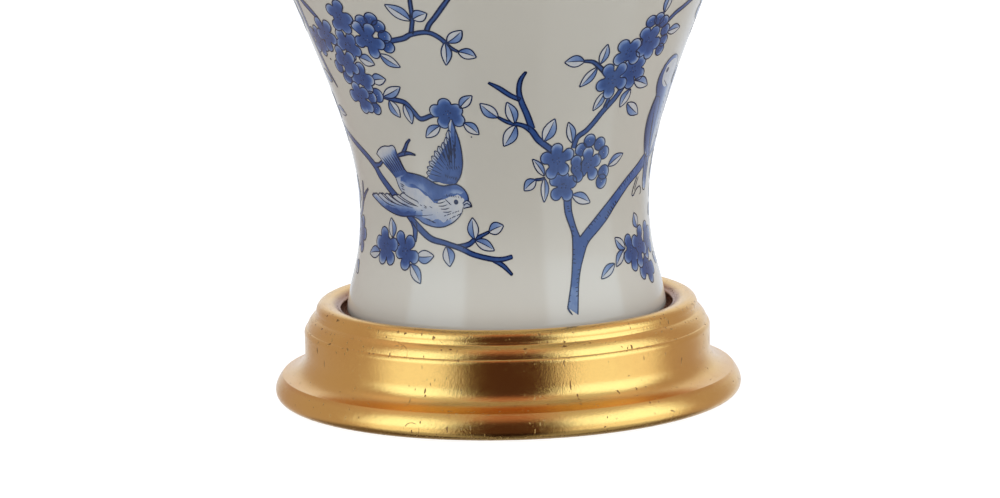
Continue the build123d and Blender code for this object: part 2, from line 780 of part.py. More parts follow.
def make_switch_shaft():
    """Brass shaft through the bush, turned by the knob."""
    return rod(switch_shaft_radius, (0, shaft_start, switch_height()), (0, shaft_end(), switch_height()))


def make_switch_knob():
    """Fluted knob, smaller at its neck, on the end of the shaft."""
    start = -shell_radius - switch_bush_reach - knob_shaft_gap
    plane = Plane(origin=(0, start, switch_height()), z_dir=(0, -1, 0))
    neck = extrude(plane * Circle(knob_radius - knob_neck_step), knob_neck_length)
    grip = extrude(plane.offset(knob_neck_length) * Circle(knob_radius), knob_length - knob_neck_length)
    grip = fillet((grip.edges() | GeomType.CIRCLE), knob_edge_radius)
    spots = PolarLocations(knob_radius + knob_flute_offset, knob_flutes)
    flute = Cylinder(knob_flute_radius, knob_length, align=(Align.CENTER, Align.CENTER, Align.MIN))
    flutes = plane.offset(knob_neck_length - 1) * spots * flute
    hole = rod(switch_shaft_radius, (0, start + 1, switch_height()), (0, shaft_end(), switch_height()))
    return neck + grip - flutes - hole


def bulb_base_radius():
    return screw_shell_radius - screw_shell_thickness - bulb_clearance


def make_bulb_base():
    """Screw base of the bulb: sleeve, insulating cone and centre tip."""
    radius = bulb_base_radius()
    root = radius - bulb_thread_depth
    height = bulb_bottom + bulb_cone_height
    tip = (bulb_tip_radius, bulb_bottom)
    tip_top = (bulb_tip_radius, bulb_bottom + bulb_tip_height)
    edges = path_through([(0, bulb_bottom), tip, tip_top, (root, height)])
    for turn in range(bulb_thread_turns):
        top = height + bulb_thread_pitch
        edges.append(ThreePointArc((root, height), (radius, (height + top) / 2), (root, top)))
        height = top
    edges += path_through([(root, height), (root, bulb_base_top), (0, bulb_base_top), (0, bulb_bottom)])
    return turned(*edges)


def make_bulb_glass():
    """Blown envelope: a globe that draws in to the neck above the base."""
    reach = bulb_radius + bulb_flare_radius
    across = bulb_neck_radius + bulb_flare_radius
    flare_rise = math.sqrt(reach**2 - across**2)
    neck = (bulb_neck_radius, bulb_base_top)
    neck_top = (bulb_neck_radius, bulb_centre - flare_rise)
    touch = (bulb_radius * across / reach, bulb_centre - bulb_radius * flare_rise / reach)
    crown = (0, bulb_centre + bulb_radius)
    outer = turned(
        Line((0, bulb_base_top), neck),
        Line(neck, neck_top),
        TangentArc(neck_top, touch, tangent=(0, 1)),
        ThreePointArc(touch, (bulb_radius, bulb_centre), crown),
        Line(crown, (0, bulb_base_top)),
    )
    hollow = Pos(0, 0, bulb_centre) * Sphere(bulb_radius - bulb_glass_wall)
    stem = tube(bulb_neck_radius - bulb_glass_wall, 0, bulb_base_top + bulb_glass_wall, bulb_centre)
    return outer - hollow - stem


def shade_radius_at(height):
    """Outside radius of the shade's cover at a height."""
    share = (shade_top - height) / shade_height
    return shade_top_radius + (shade_bottom_radius - shade_top_radius) * share


def cone_wall(inset, thickness, bottom, top):
    """A tapered sleeve that follows the shade's side."""
    outer_low = shade_radius_at(bottom) - inset
    outer_high = shade_radius_at(top) - inset
    points = [
        (outer_low, bottom),
        (outer_high, top),
        (outer_high - thickness, top),
        (outer_low - thickness, bottom),
        (outer_low, bottom),
    ]
    return turned(*path_through(points))


def make_shade_cover():
    return cone_wall(0, cover_thickness, shade_bottom, shade_top)


def make_shade_lining():
    inset = cover_thickness + shade_layer_gap
    return cone_wall(inset, lining_thickness, shade_bottom + lining_margin, shade_top - lining_margin)


def make_trim(bottom):
    """Tape folded round the edge of the cover."""
    top = bottom + trim_height
    return cone_wall(-trim_thickness - shade_layer_gap, trim_thickness, bottom, top)


def frame_ring_radius(height):
    """Centre line of a frame ring that lies against the lining."""
    inside = cover_thickness + shade_layer_gap + lining_thickness
    return shade_radius_at(height) - inside - shade_wire_radius - ring_gap


def make_frame_ring(height):
    ring = Torus(frame_ring_radius(height), shade_wire_radius)
    return Pos(0, 0, height) * ring


def top_ring_height():
    return shade_top - shade_wire_radius - ring_inset


def bottom_ring_height():
    return shade_bottom + shade_wire_radius + ring_inset


def make_shade_spider():
    """Hub with a hole for the stud, and arms that rise to the top ring."""
    hub = tube(spider_hub_radius, stud_thread_radius + hub_hole_clearance, hub_bottom, finial_bottom)
    level = hub_bottom + spider_wire_radius + arm_gap
    first = spider_hub_radius - arm_root
    end = frame_ring_radius(top_ring_height()) - shade_wire_radius - arm_gap
    bend_start, bend_end, bend_radius = arm_bend
    high = top_ring_height()
    line = FilletPolyline(
        (first, level), (end - bend_start, level), (end - bend_end, high), (end, high), radius=bend_radius
    )
    start = Plane(origin=(first, 0, level), z_dir=(1, 0, 0))
    wire = sweep(start * Circle(spider_wire_radius), path=Plane.XZ * line)
    spider = hub
    for arm in range(spider_arm_count):
        spider = spider + Rot(0, 0, 90 + arm * 360 / spider_arm_count) * wire
    return spider


def thread_hole_top():
    return hub_bottom + stud_thread_length + finial_thread_play + finial_clearance


def make_finial_base():
    """Brass insert that screws on the stud, with a flared foot."""
    top = finial_bottom + finial_base_height
    bore = stud_thread_radius + finial_clearance
    core = finial_stem_radius + finial_core
    neck = finial_stem_radius + finial_neck[0]
    foot = (finial_base_radius, finial_bottom)
    foot_edge = (finial_base_radius, finial_bottom + finial_foot_edge)
    waist = (neck, top - finial_neck[1])
    bow = (finial_stem_radius + finial_foot_bow[0], finial_bottom + finial_foot_bow[1])
    depth = thread_hole_top()
    stem_top = depth + finial_core_top
    return turned(
        Line((bore, finial_bottom), foot),
        Line(foot, foot_edge),
        ThreePointArc(foot_edge, bow, waist),
        *path_through([waist, (neck, top), (core, top), (core, stem_top), (0, stem_top)]),
        *path_through([(0, stem_top), (0, depth), (bore, depth), (bore, finial_bottom)]),
    )


def make_finial_knob():
    """Turned and gilded pear that covers the brass insert."""
    bottom = finial_bottom + finial_base_height
    top = finial_bottom + finial_height
    bore = finial_stem_radius + finial_core + knob_fit
    depth = thread_hole_top() + finial_core_top + knob_fit
    widest = (finial_knob_radius, bottom + knob_widest_share * (top - bottom))
    foot = (bore + knob_foot_width, bottom)
    tip = finial_tip_radius
    shoulder = ((widest[0] + tip) / 2, (widest[1] + top - tip) / 2)
    return turned(
        Line((bore, bottom), foot),
        TangentArc(widest, foot, tangent=(0, -1)),
        TangentArc(widest, shoulder, tangent=(0, 1)),
        TangentArc((tip, top - tip), shoulder, tangent=(0, -1)),
        ThreePointArc((tip, top - tip), (tip * arc_side, top - tip + tip * arc_side), (0, top)),
        *path_through([(0, top), (0, depth), (bore, depth), (bore, bottom)]),
    )


pieces = {
    "felt_pad": make_felt_pad(),
    "turned_base": make_base(),
    "cord_bushing": make_cord_bushing(),
    "lamp_pipe": make_lamp_pipe(),
    "lower_nut": make_lower_nut(),
    "lock_washer": make_lock_washer(),
    "plate_washer": make_plate_washer(),
    "foot_gasket": make_foot_gasket(),
    "urn_body": make_urn_body(),
    "mouth_gasket": make_mouth_gasket(),
    "vase_cap": make_cap(),
    "seat_ring": make_seat_ring(),
    "neck_tube": make_neck_tube(),
    "check_ring": make_check_ring(),
    "harp_saddle": make_harp_saddle(),
    "harp_wire": make_harp_wire(),
    "ferrule_left": make_ferrule(-1),
    "ferrule_right": make_ferrule(1),
    "harp_stud": make_harp_stud(),
    "socket_cap": make_socket_cap(),
    "socket_set_screw": make_set_screw(),
    "socket_shell": make_socket_shell(),
    "insulating_liner": make_insulating_liner(),
    "socket_insulator": make_socket_insulator(),
    "terminal_screws": make_terminal_screws(),
    "screw_shell": make_screw_shell(),
    "centre_contact": make_centre_contact(),
    "switch_shaft": make_switch_shaft(),
    "switch_knob": make_switch_knob(),
    "bulb_base": make_bulb_base(),
    "bulb_glass": make_bulb_glass(),
    "shade_spider": make_shade_spider(),
    "shade_top_ring": make_frame_ring(top_ring_height()),
    "shade_bottom_ring": make_frame_ring(bottom_ring_height()),
    "shade_lining": make_shade_lining(),
    "shade_cover": make_shade_cover(),
    "top_trim": make_trim(shade_top - trim_height),
    "bottom_trim": make_trim(shade_bottom),
    "finial_base": make_finial_base(),
    "finial_knob": make_finial_knob(),
}

os.makedirs("parts", exist_ok=True)
for name, piece in pieces.items():
    export_step(piece, f"parts/{name}.step")
    print(name, round(piece.volume / 1000, 2), "cm3")
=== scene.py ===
# %% [markdown]
# # An urn table lamp
# The lamp is a glazed porcelain urn on a gilded wooden base, with a brass harp, a socket, a
# bulb and a linen drum shade. The solid model fixes every size and every joint, so this
# lesson starts from it and adds what it lacks: smooth surfaces, brushwork, gold leaf, cloth.

# %% Load the frame
import math
import random

import bmesh
import bpy
import numpy as np
from mathutils import Matrix, Vector
from mathutils.geometry import delaunay_2d_cdt


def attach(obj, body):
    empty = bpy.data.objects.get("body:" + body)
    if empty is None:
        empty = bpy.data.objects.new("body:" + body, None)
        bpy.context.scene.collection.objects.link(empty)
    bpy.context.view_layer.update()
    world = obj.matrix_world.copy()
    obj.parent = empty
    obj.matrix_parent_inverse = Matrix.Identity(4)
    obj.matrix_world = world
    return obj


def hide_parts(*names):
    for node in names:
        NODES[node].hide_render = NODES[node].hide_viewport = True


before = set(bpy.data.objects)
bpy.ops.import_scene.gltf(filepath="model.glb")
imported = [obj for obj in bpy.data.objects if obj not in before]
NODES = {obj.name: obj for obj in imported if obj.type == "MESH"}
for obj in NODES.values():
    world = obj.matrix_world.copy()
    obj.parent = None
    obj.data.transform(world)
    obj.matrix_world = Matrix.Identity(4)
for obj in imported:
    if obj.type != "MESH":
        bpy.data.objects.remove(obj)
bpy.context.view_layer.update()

MM = 0.001

# %% [markdown]
# ## The camera
# The photograph was taken with a long lens, a little above the base and tilted down. A long
# lens keeps the two sides of the urn nearly parallel. The place, tilt and lens were worked
# out from the ellipses of the base, so nothing here is a guess by eye.

# %% Place the camera
def aim_camera(place, tilt, pan, roll, focal, sensor=36.0):
    """A camera that looks along +Y, tilted down, turned left and rolled, in degrees."""
    data = bpy.data.cameras.new("view")
    data.sensor_width = sensor
    data.lens = focal
    eye = bpy.data.objects.new("view", data)
    bpy.context.scene.collection.objects.link(eye)
    level = Matrix.Rotation(math.radians(90 - tilt), 4, "X")
    turned = Matrix.Rotation(math.radians(pan), 4, "Z") @ level
    eye.matrix_world = Matrix.Translation(place) @ turned @ Matrix.Rotation(math.radians(roll), 4, "Z")
    bpy.context.scene.camera = eye
    return eye


camera = aim_camera((0.0, -1.400, 0.2965), tilt=9.59, pan=0.09, roll=-1.3, focal=125.7)
print("camera", round(camera.data.lens, 1), "mm, at", [round(c, 3) for c in camera.location])

# %% [markdown]
# ## Shader maths as Python
# Materials read better as expressions than as boxes and wires. The class below wraps one
# socket, and an expression such as 1 - mask * 0.3 then adds the Math nodes it needs. Every
# other node comes from one method, which is told its kind, its settings and its sockets.

# %% A socket that takes part in expressions
class Socket:
    """One output of a node. Arithmetic on it adds Math nodes to its tree."""

    def __init__(self, tree, output):
        self.tree, self.output = tree, output

    def math(self, operation, *values):
        settings = {"operation": operation}
        return self.tree.add("ShaderNodeMath", settings, dict(enumerate((self, *values))))

    def __add__(self, other):
        return self.math("ADD", other)

    def __sub__(self, other):
        return self.math("SUBTRACT", other)

    def __rsub__(self, other):
        return self.math("MULTIPLY_ADD", -1.0, other)

    def __mul__(self, other):
        return self.math("MULTIPLY", other)

    def __truediv__(self, other):
        return self.math("DIVIDE", other)

    def __pow__(self, other):
        return self.math("POWER", other)

    def __gt__(self, other):
        return self.math("GREATER_THAN", other)

    def __lt__(self, other):
        return self.math("LESS_THAN", other)

    __radd__, __rmul__ = __add__, __mul__


class Tree:
    """A node tree that is filled by add(), for shaders and for Geometry Nodes alike."""

    def __init__(self, tree):
        self.tree = tree

    def add(self, kind, settings=None, inputs=None, out=0):
        node = self.tree.nodes.new(kind)
        for name, value in (settings or {}).items():
            if name == "stops":
                self.set_stops(node.color_ramp, value)
            else:
                setattr(node, name, value)
        for name, value in (inputs or {}).items():
            if isinstance(value, Socket):
                self.tree.links.new(value.output, node.inputs[name])
            else:
                node.inputs[name].default_value = value
        return Socket(self, node.outputs[out]) if node.outputs else node

    def set_stops(self, ramp, stops):
        while len(ramp.elements) < len(stops):
            ramp.elements.new(1.0)
        for element, (place, colour) in zip(ramp.elements, stops):
            element.position = place
            element.color = (*colour, 1.0)


def smooth_step(value, low, high):
    """0 below low, 1 above high, and a soft rise between."""
    inputs = {"Value": value, "From Min": low, "From Max": high}
    return value.tree.add("ShaderNodeMapRange", {"interpolation_type": "SMOOTHSTEP"}, inputs)


def mix(share, first, second):
    """One colour over another, by a share from 0 to 1."""
    node = share.tree.tree.nodes.new("ShaderNodeMix")
    node.data_type = "RGBA"
    for socket, value in zip((node.inputs[0], node.inputs[6], node.inputs[7]), (share, first, second)):
        if isinstance(value, Socket):
            share.tree.tree.links.new(value.output, socket)
        else:
            socket.default_value = (*value, 1.0)
    return Socket(share.tree, node.outputs[2])


# %% One way to make a material
def make_material(name, constants, pattern=None):
    """A Principled material. constants go on its sockets, pattern(tree) returns what varies."""
    material = bpy.data.materials.new(name + "_finish")
    material.use_nodes = True
    tree = Tree(material.node_tree)
    shader = material.node_tree.nodes["Principled BSDF"]
    for socket, value in constants.items():
        shader.inputs[socket].default_value = value
    varying = pattern(tree) if pattern else {}
    for socket, value in varying.items():
        material.node_tree.links.new(value.output, shader.inputs[socket])
    return material


def place_on_piece(tree, scale=(1.0, 1.0, 1.0)):
    """Object coordinates, in metres, stretched by a scale for a pattern."""
    where = tree.add("ShaderNodeTexCoord", out="Object")
    return tree.add("ShaderNodeMapping", {}, {"Vector": where, "Scale": scale})


def split(tree, vector):
    """The X, Y and Z of a vector as three sockets."""
    first = tree.add("ShaderNodeSeparateXYZ", {}, {0: vector})
    return first, *(Socket(tree, first.output.node.outputs[axis]) for axis in "YZ")


def vector(tree, x=0.0, y=0.0, z=0.0):
    return tree.add("ShaderNodeCombineXYZ", {}, {0: x, 1: y, 2: z})


def noise(tree, where, scale, detail=3.0, rough=0.5, distortion=0.0):
    inputs = {"Vector": where, "Scale": scale, "Detail": detail, "Roughness": rough,
              "Distortion": distortion}
    return tree.add("ShaderNodeTexNoise", {}, inputs)


def bump(tree, height, distance, strength=1.0):
    return tree.add("ShaderNodeBump", {}, {"Height": height, "Distance": distance, "Strength": strength})


# %% [markdown]
# ## The studio
# Gold and glaze show their surroundings, so the surroundings are built first. Two tall soft
# boxes stand left and right of the lens, with a dark room between them, and that gap gives
# the gold its brown middle. Pale walls stand beside and behind, and give its edges their
# white. Lamps give the light. What the gold mirrors is painted on the world by direction,
# for glossy rays only. The lens itself sees plain white, and a weaker white fills shadows.

# %% Small helpers for objects
def link(obj):
    bpy.context.scene.collection.objects.link(obj)
    return obj


def grid_mesh(name, rows, closed_across=False, closed_along=False):
    """A mesh through rows of points, all rows the same length."""
    high, wide = len(rows), len(rows[0])
    points = [p for row in rows for p in row]
    faces = []
    for i in range(high if closed_along else high - 1):
        for j in range(wide if closed_across else wide - 1):
            k, n = (j + 1) % wide, (i + 1) % high
            faces.append((i * wide + j, i * wide + k, n * wide + k, n * wide + j))
    mesh = bpy.data.meshes.new(name)
    mesh.from_pydata(points, [], faces)
    mesh.update()
    return mesh


def light_path(tree, *kinds):
    """1 for rays of these kinds, 0 for others."""
    total = tree.add("ShaderNodeLightPath", out=kinds[0])
    for kind in kinds[1:]:
        total = total.math("MAXIMUM", tree.add("ShaderNodeLightPath", out=kind))
    return total


# %% What the gold mirrors
def between(value, low, high, soft):
    """1 inside a range and 0 outside it, with soft ends."""
    return smooth_step(value, low - soft, low + soft) * (1 - smooth_step(value, high - soft, high + soft))


def studio_colour(tree):
    """Colour and brightness of the studio in each direction: boxes, dark room and walls."""
    across, depth, up = split(tree, tree.add("ShaderNodeTexCoord", out="Generated"))
    azimuth = across.math("ARCTAN2", depth * -1.0) * math.degrees(1)
    height = up.math("ARCSINE") * math.degrees(1)
    sides = sum((between(azimuth, *reach, 3.0) for reach in (LEFT_BOX, RIGHT_BOX)), start=0.0)
    boxes = sides * (1 - smooth_step(height, 38, 54) * TOP_FADE)
    core = boxes * between(height, *CORE_HEIGHTS, 4) * CORE_LIGHT
    half = ROOM_HALF - smooth_step(height, 30, 68) * ROOM_TAPER
    in_room = 1 - smooth_step(across.math("ABSOLUTE") - half, -0.04, 0.04)
    room = in_room * (1 - smooth_step(depth, 0.10, 0.30))
    room_light = ROOM_LOW + smooth_step(height, 34, 62) * ROOM_RISE
    behind = smooth_step(azimuth * -1.0, 146, 170) + smooth_step(azimuth, 130, 158)
    behind = behind * (1 - smooth_step(height, 30, 52) * BACK_FADE) * (1 - room)
    overhead = smooth_step(height, 40, 58) * (1 - smooth_step(depth, 0.25, 0.50))
    wall = (WALL_LIGHT + overhead * CEILING_RISE) * (1 - sides) * (1 - room) * (1 - behind)
    above_floor = 1 - smooth_step(height * -1.0, 26, 42) * FLOOR_FADE
    parts = ((wall, WALL_TINT), (boxes * BOX_LIGHT, BOX_TINT), (core, CORE_TINT),
             (room * room_light, ROOM_TINT), (behind, BACK_TINT))
    bands = (sum((light * tint[k] for light, tint in parts), start=0.0) * above_floor for k in range(3))
    return tree.add("ShaderNodeCombineColor", {}, dict(enumerate(bands)))


# The reach of each box is in degrees right of the lens, and its core's in degrees up. The
# room's half width is a share of the distance, and the lights are the world's own units.
LEFT_BOX, RIGHT_BOX, CORE_HEIGHTS = (-76, -31), (30, 93), (3, 44)
BOX_LIGHT, CORE_LIGHT, TOP_FADE = 1.12, 0.50, 0.45
ROOM_HALF, ROOM_TAPER, ROOM_LOW, ROOM_RISE = 0.515, 0.30, 0.075, 0.36
WALL_LIGHT, CEILING_RISE, BACK_FADE, FLOOR_FADE = 0.50, 0.34, 0.62, 0.65
WALL_TINT, ROOM_TINT, BACK_TINT = (1.0, 0.83, 0.76), (1.0, 0.48, 0.38), (0.86, 0.90, 0.98)
BOX_TINT, CORE_TINT = (1.0, 1.06, 1.08), (0.75, 1.25, 1.70)

world = bpy.data.worlds.new("studio")
bpy.context.scene.world = world
world.use_nodes = True
sky = Tree(world.node_tree)
glossy = light_path(sky, "Is Glossy Ray")
seen = light_path(sky, "Is Camera Ray", "Is Transmission Ray")
FILL = 0.35
plain = seen + (1 - seen) * FILL
white = sky.add("ShaderNodeCombineColor", {}, {0: plain, 1: plain, 2: plain})
level = mix(glossy, white, studio_colour(sky))
world.node_tree.links.new(level.output, world.node_tree.nodes["Background"].inputs["Color"])
world.node_tree.nodes["Background"].inputs["Strength"].default_value = 1.0

# %% The floor
def stage_material(name, surface):
    """A material for what isn't part of the lamp, from any shader."""
    material = bpy.data.materials.new(name)
    material.use_nodes = True
    nodes = material.node_tree.nodes
    nodes.remove(nodes["Principled BSDF"])
    shader = surface(Tree(material.node_tree))
    material.node_tree.links.new(shader.output, nodes["Material Output"].inputs["Surface"])
    return material


def white_paper(tree):
    """Matt white that glows a little for the lens, so that only shadow shows on it."""
    matte = tree.add("ShaderNodeBsdfDiffuse", {}, {"Color": (0.86, 0.86, 0.86, 1)})
    glow = tree.add("ShaderNodeEmission", {}, {"Color": (1, 1, 1, 1), "Strength": 1.6})
    share = light_path(tree, "Is Camera Ray", "Is Transmission Ray") * 0.58
    return tree.add("ShaderNodeMixShader", {}, {0: share, 1: matte, 2: glow})


floor_corners = [[(-4, -4, 0), (4, -4, 0)], [(-4, 6, 0), (4, 6, 0)]]
floor = link(bpy.data.objects.new("floor", grid_mesh("floor", floor_corners)))
floor.data.materials.append(stage_material("paper", white_paper))
floor.visible_glossy = False

# %% The lamps
def soft_box(name, azimuth, distance, height, width, tall, watts):
    """An area lamp that faces the lamp's axis, azimuth degrees right of the camera."""
    data = bpy.data.lights.new(name, "AREA")
    data.shape, data.size, data.size_y, data.energy = "RECTANGLE", width, tall, watts
    lamp = link(bpy.data.objects.new(name, data))
    turn = math.radians(azimuth)
    lamp.location = (distance * math.sin(turn), -distance * math.cos(turn), height)
    aim = Vector((0, 0, 0.3)) - lamp.location
    lamp.rotation_euler = aim.to_track_quat("-Z", "Y").to_euler()
    lamp.visible_glossy = False
    return lamp


soft_box("left_box", -51, 1.25, 0.75, 1.10, 1.40, 7.9)
soft_box("right_box", 60, 1.25, 0.75, 1.55, 1.40, 10.8)
soft_box("back_box", 180, 1.6, 1.0, 1.8, 1.2, 8.0)
soft_box("top_box", 5, 0.3, 2.4, 1.6, 1.6, 13.0)

# %% [markdown]
# ## Turning a piece on the lathe
# Most of the lamp is turned, thrown or spun about one axis. Its shape is a rule, one profile
# carried round the axis, so Geometry Nodes are the right tool: a grid has one row for each
# point of the profile, and each row is moved onto that point and bent into a ring.

# %% Points of a profile
def line(a, b, steps=1):
    return [(a[0] + (b[0] - a[0]) * i / steps, a[1] + (b[1] - a[1]) * i / steps) for i in range(steps + 1)]


def arc(start, middle, end, steps):
    """Points on the circle through three points of a profile."""
    (ax, ay), (bx, by), (cx, cy) = start, middle, end
    d = 2 * (ax * (by - cy) + bx * (cy - ay) + cx * (ay - by))
    a2, b2, c2 = ax * ax + ay * ay, bx * bx + by * by, cx * cx + cy * cy
    x = (a2 * (by - cy) + b2 * (cy - ay) + c2 * (ay - by)) / d
    y = (a2 * (cx - bx) + b2 * (ax - cx) + c2 * (bx - ax)) / d
    first, mid, last = (math.atan2(p[1] - y, p[0] - x) for p in (start, middle, end))
    sweep = (last - first) % (2 * math.pi)
    if (mid - first) % (2 * math.pi) > sweep:
        sweep -= 2 * math.pi
    r = math.hypot(ax - x, ay - y)
    turns = [first + sweep * i / steps for i in range(steps + 1)]
    return [(x + r * math.cos(turn), y + r * math.sin(turn)) for turn in turns]


def bezier(a, b, c, d, steps):
    points = []
    for i in range(steps + 1):
        t = i / steps
        shares = ((1 - t) ** 3, 3 * t * (1 - t) ** 2, 3 * t * t * (1 - t), t ** 3)
        points.append(tuple(sum(s * p[k] for s, p in zip(shares, (a, b, c, d))) for k in (0, 1)))
    return points


def join(*runs):
    """Runs of points as one outline, each shared end kept once."""
    outline = []
    for run in runs:
        for point in run:
            if not outline or math.dist(point, outline[-1]) > 1e-6:
                outline.append(point)
    return outline


# %% The lathe, as a node tree
def new_group(name, inputs):
    """An empty Geometry Nodes tree with named inputs, and the sockets that they give."""
    group = bpy.data.node_groups.new(name, "GeometryNodeTree")
    for label, kind, default in inputs:
        socket = group.interface.new_socket(label, in_out="INPUT", socket_type="NodeSocket" + kind)
        if default is not None:
            socket.default_value = default
    group.interface.new_socket("Piece", in_out="OUTPUT", socket_type="NodeSocketGeometry")
    tree = Tree(group)
    entry = group.nodes.new("NodeGroupInput")
    return tree, {label: Socket(tree, entry.outputs[label]) for label, _, _ in inputs}


def end_group(tree, geometry, material):
    """Every tree ends alike: real geometry, with its material set."""
    real = tree.add("GeometryNodeRealizeInstances", {}, {0: geometry})
    done = tree.add("GeometryNodeSetMaterial", {}, {"Geometry": real, "Material": material})
    tree.add("NodeGroupOutput", {}, {0: done})
    return tree.tree


def lathe_group():
    inputs = [("Profile", "Geometry", None), ("Around", "Int", 128), ("Material", "Material", None)]
    tree, given = new_group("lathe", inputs)
    rows = tree.add("GeometryNodeAttributeDomainSize", {"component": "CURVE"}, {0: given["Profile"]})
    grid_inputs = {"Size X": 1.0, "Size Y": 1.0, "Vertices X": rows, "Vertices Y": given["Around"] + 1.0}
    grid = tree.add("GeometryNodeMeshGrid", {}, grid_inputs)
    across, along, _ = split(tree, tree.add("GeometryNodeInputPosition"))
    row = ((across + 0.5) * (rows - 1.0)).math("ROUND")
    spot = tree.add("GeometryNodeSampleIndex", {"data_type": "FLOAT_VECTOR", "domain": "POINT"},
                    {"Geometry": given["Profile"], "Value": tree.add("GeometryNodeInputPosition"),
                     "Index": row})
    radius, _, height = split(tree, spot)
    turn = (along + 0.5) * (2 * math.pi)
    ring = vector(tree, radius * turn.math("COSINE"), radius * turn.math("SINE"), height)
    bent = tree.add("GeometryNodeSetPosition", {}, {"Geometry": grid, "Position": ring})
    closed = tree.add("GeometryNodeMergeByDistance", {}, {"Geometry": bent, "Distance": 1e-7})
    outward = tree.add("GeometryNodeFlipFaces", {}, {0: closed})
    return end_group(tree, outward, given["Material"])


LATHE = lathe_group()


# %% From node tree to plain mesh
def run_group(obj, group, values):
    """Sets a tree's inputs by their identifiers, and returns the mesh it makes."""
    modifier = obj.modifiers.new(group.name, "NODES")
    modifier.node_group = group
    names = {item.name: item.identifier for item in group.interface.items_tree if item.in_out == "INPUT"}
    for label, value in values.items():
        modifier[names[label]] = value
    ready = bpy.context.evaluated_depsgraph_get()
    mesh = bpy.data.meshes.new_from_object(obj.evaluated_get(ready))
    obj.modifiers.remove(modifier)
    mesh.materials.clear()
    mesh.materials.append(values["Material"])
    mesh.polygons.foreach_set("material_index", [0] * len(mesh.polygons))
    return mesh


def settle(name, mesh, body, replaces=()):
    """A finished piece: a plain mesh at the origin that rides on its body."""
    mesh.name = name
    piece = link(bpy.data.objects.new(name, mesh))
    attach(piece, body)
    if replaces:
        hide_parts(*replaces)
    return piece


def shade_smooth(mesh, sharp=35.0):
    mesh.polygons.foreach_set("use_smooth", [True] * len(mesh.polygons))
    mesh.set_sharp_from_angle(angle=math.radians(sharp))


def poly_curve(name, points, closed=False):
    """Straight runs through points in millimetres, as a curve for a node tree."""
    curve = bpy.data.curves.new(name, "CURVE")
    curve.dimensions = "3D"
    spline = curve.splines.new("POLY")
    spline.points.add(len(points) - 1)
    for point, place in zip(spline.points, points):
        point.co = (*(c * MM for c in place), 1.0)
    spline.use_cyclic_u = closed
    return curve


def turned_mesh(name, outline, material, around=128):
    """Turns an outline of radius and height, in millimetres, on the lathe."""
    path = [(max(r, 0.0), 0.0, z) for r, z in outline]
    stock = link(bpy.data.objects.new(name, poly_curve(name, path)))
    mesh = run_group(stock, LATHE, {"Around": around, "Material": material})
    bpy.data.objects.remove(stock)
    return mesh


def turn_piece(name, outline, body, material, replaces=(), around=128, sharp=35.0, place=None):
    """Turns a closed or axis-to-axis outline into a piece of the lamp, laid over by a matrix or not."""
    mesh = turned_mesh(name, outline, material, around)
    if place:
        mesh.transform(place)
    shade_smooth(mesh, sharp)
    piece = settle(name, mesh, body, replaces)
    print(f"{name}: {len(mesh.polygons)} faces from {len(outline)} profile points")
    return piece


# %% [markdown]
# ## The porcelain urn
# The urn is thrown porcelain under a clear glaze. Its side is three easy curves, foot to
# waist, waist to shoulder and shoulder to neck. The glaze is a dense, slightly grey white
# with a hard shine, and it pools a little, which bends reflections.

# %% The urn's side
FOOT_RADIUS, URN_BOTTOM, URN_WALL = 65.0, 33.9, 5.5
LIP_HEIGHT = 330.0


def urn_side(inset, foot, foot_height, steps):
    """The side of the urn as three joined curves, drawn in by an inset."""
    waist, shoulder, neck = (58.6 - inset, 79.6), (103.0 - inset, 246.0), (41.0 - inset, 318.0)
    lower = bezier((foot, foot_height), (foot - 1.95, foot_height + 15), (waist[0], 56.8), waist, steps[0])
    body = bezier(waist, (waist[0], 126.9), (shoulder[0], 188.2), shoulder, steps[1])
    upper = bezier(shoulder, (shoulder[0], 284.0), (neck[0], 292.0), neck, steps[2])
    return join(lower, body, upper)


def urn_outline():
    """The whole section: foot, side, lip, mouth, inside and the hole for the pipe."""
    side_foot = URN_BOTTOM + 4.0
    foot = arc((FOOT_RADIUS - 4, URN_BOTTOM), (FOOT_RADIUS - 1.17, URN_BOTTOM + 1.17),
               (FOOT_RADIUS, side_foot), 8)
    outside = urn_side(0, FOOT_RADIUS, side_foot, (20, 70, 40))
    lip = join(arc((41, 318), (42, 324.5), (45, 328.5), 10), arc((45, 328.5), (44.5, 329.5), (43.5, 330), 6))
    inside = urn_side(URN_WALL, FOOT_RADIUS - URN_WALL, URN_BOTTOM + 7, (6, 16, 10))[::-1]
    hole = [(7.2, URN_BOTTOM + 7), (7.2, URN_BOTTOM), (FOOT_RADIUS - 4, URN_BOTTOM)]
    return join(foot, outside, lip, [(35.5, LIP_HEIGHT)], inside, hole)


def glaze_pattern(tree):
    """Slightly grey white, clouded by the kiln, and paler toward the foot as painted light from the floor."""
    spot = place_on_piece(tree)
    height = split(tree, spot)[2]
    cloud = noise(tree, spot, 16.0, 3.0, 0.5)
    # Painted light: the urn is made paler toward the foot, standing in for light thrown up from the white
    # floor.
    foot = 1 - smooth_step(height, 0.044, 0.088)
    body = mix(foot, (0.505, 0.488, 0.437), (0.630, 0.615, 0.562))
    colour = mix(smooth_step(cloud, 0.40, 0.70) * 0.14, body, (0.455, 0.450, 0.425))
    return {"Base Color": colour, "Roughness": 0.08 + cloud * 0.08,
            "Normal": bump(tree, noise(tree, spot, 70.0, 2.0, 0.4), 0.00005, 1.0)}


glaze = make_material("porcelain_glaze", {"IOR": 1.5}, glaze_pattern)
urn = turn_piece("urn", urn_outline(), "lamp", glaze, ["urn_body"], around=288)

# %% [markdown]
# ## The brushwork
# The urn is painted in cobalt blue under the glaze: birds, plum blossom and leaves, each with
# a navy outline that a wash then fills. Lines this fine stay crisp only as shapes, so they
# are drawn, not shaded. The drawing is made flat, in degrees round the urn and millimetres
# up, as a paper pattern is, and a node tree wraps it round the urn afterwards.

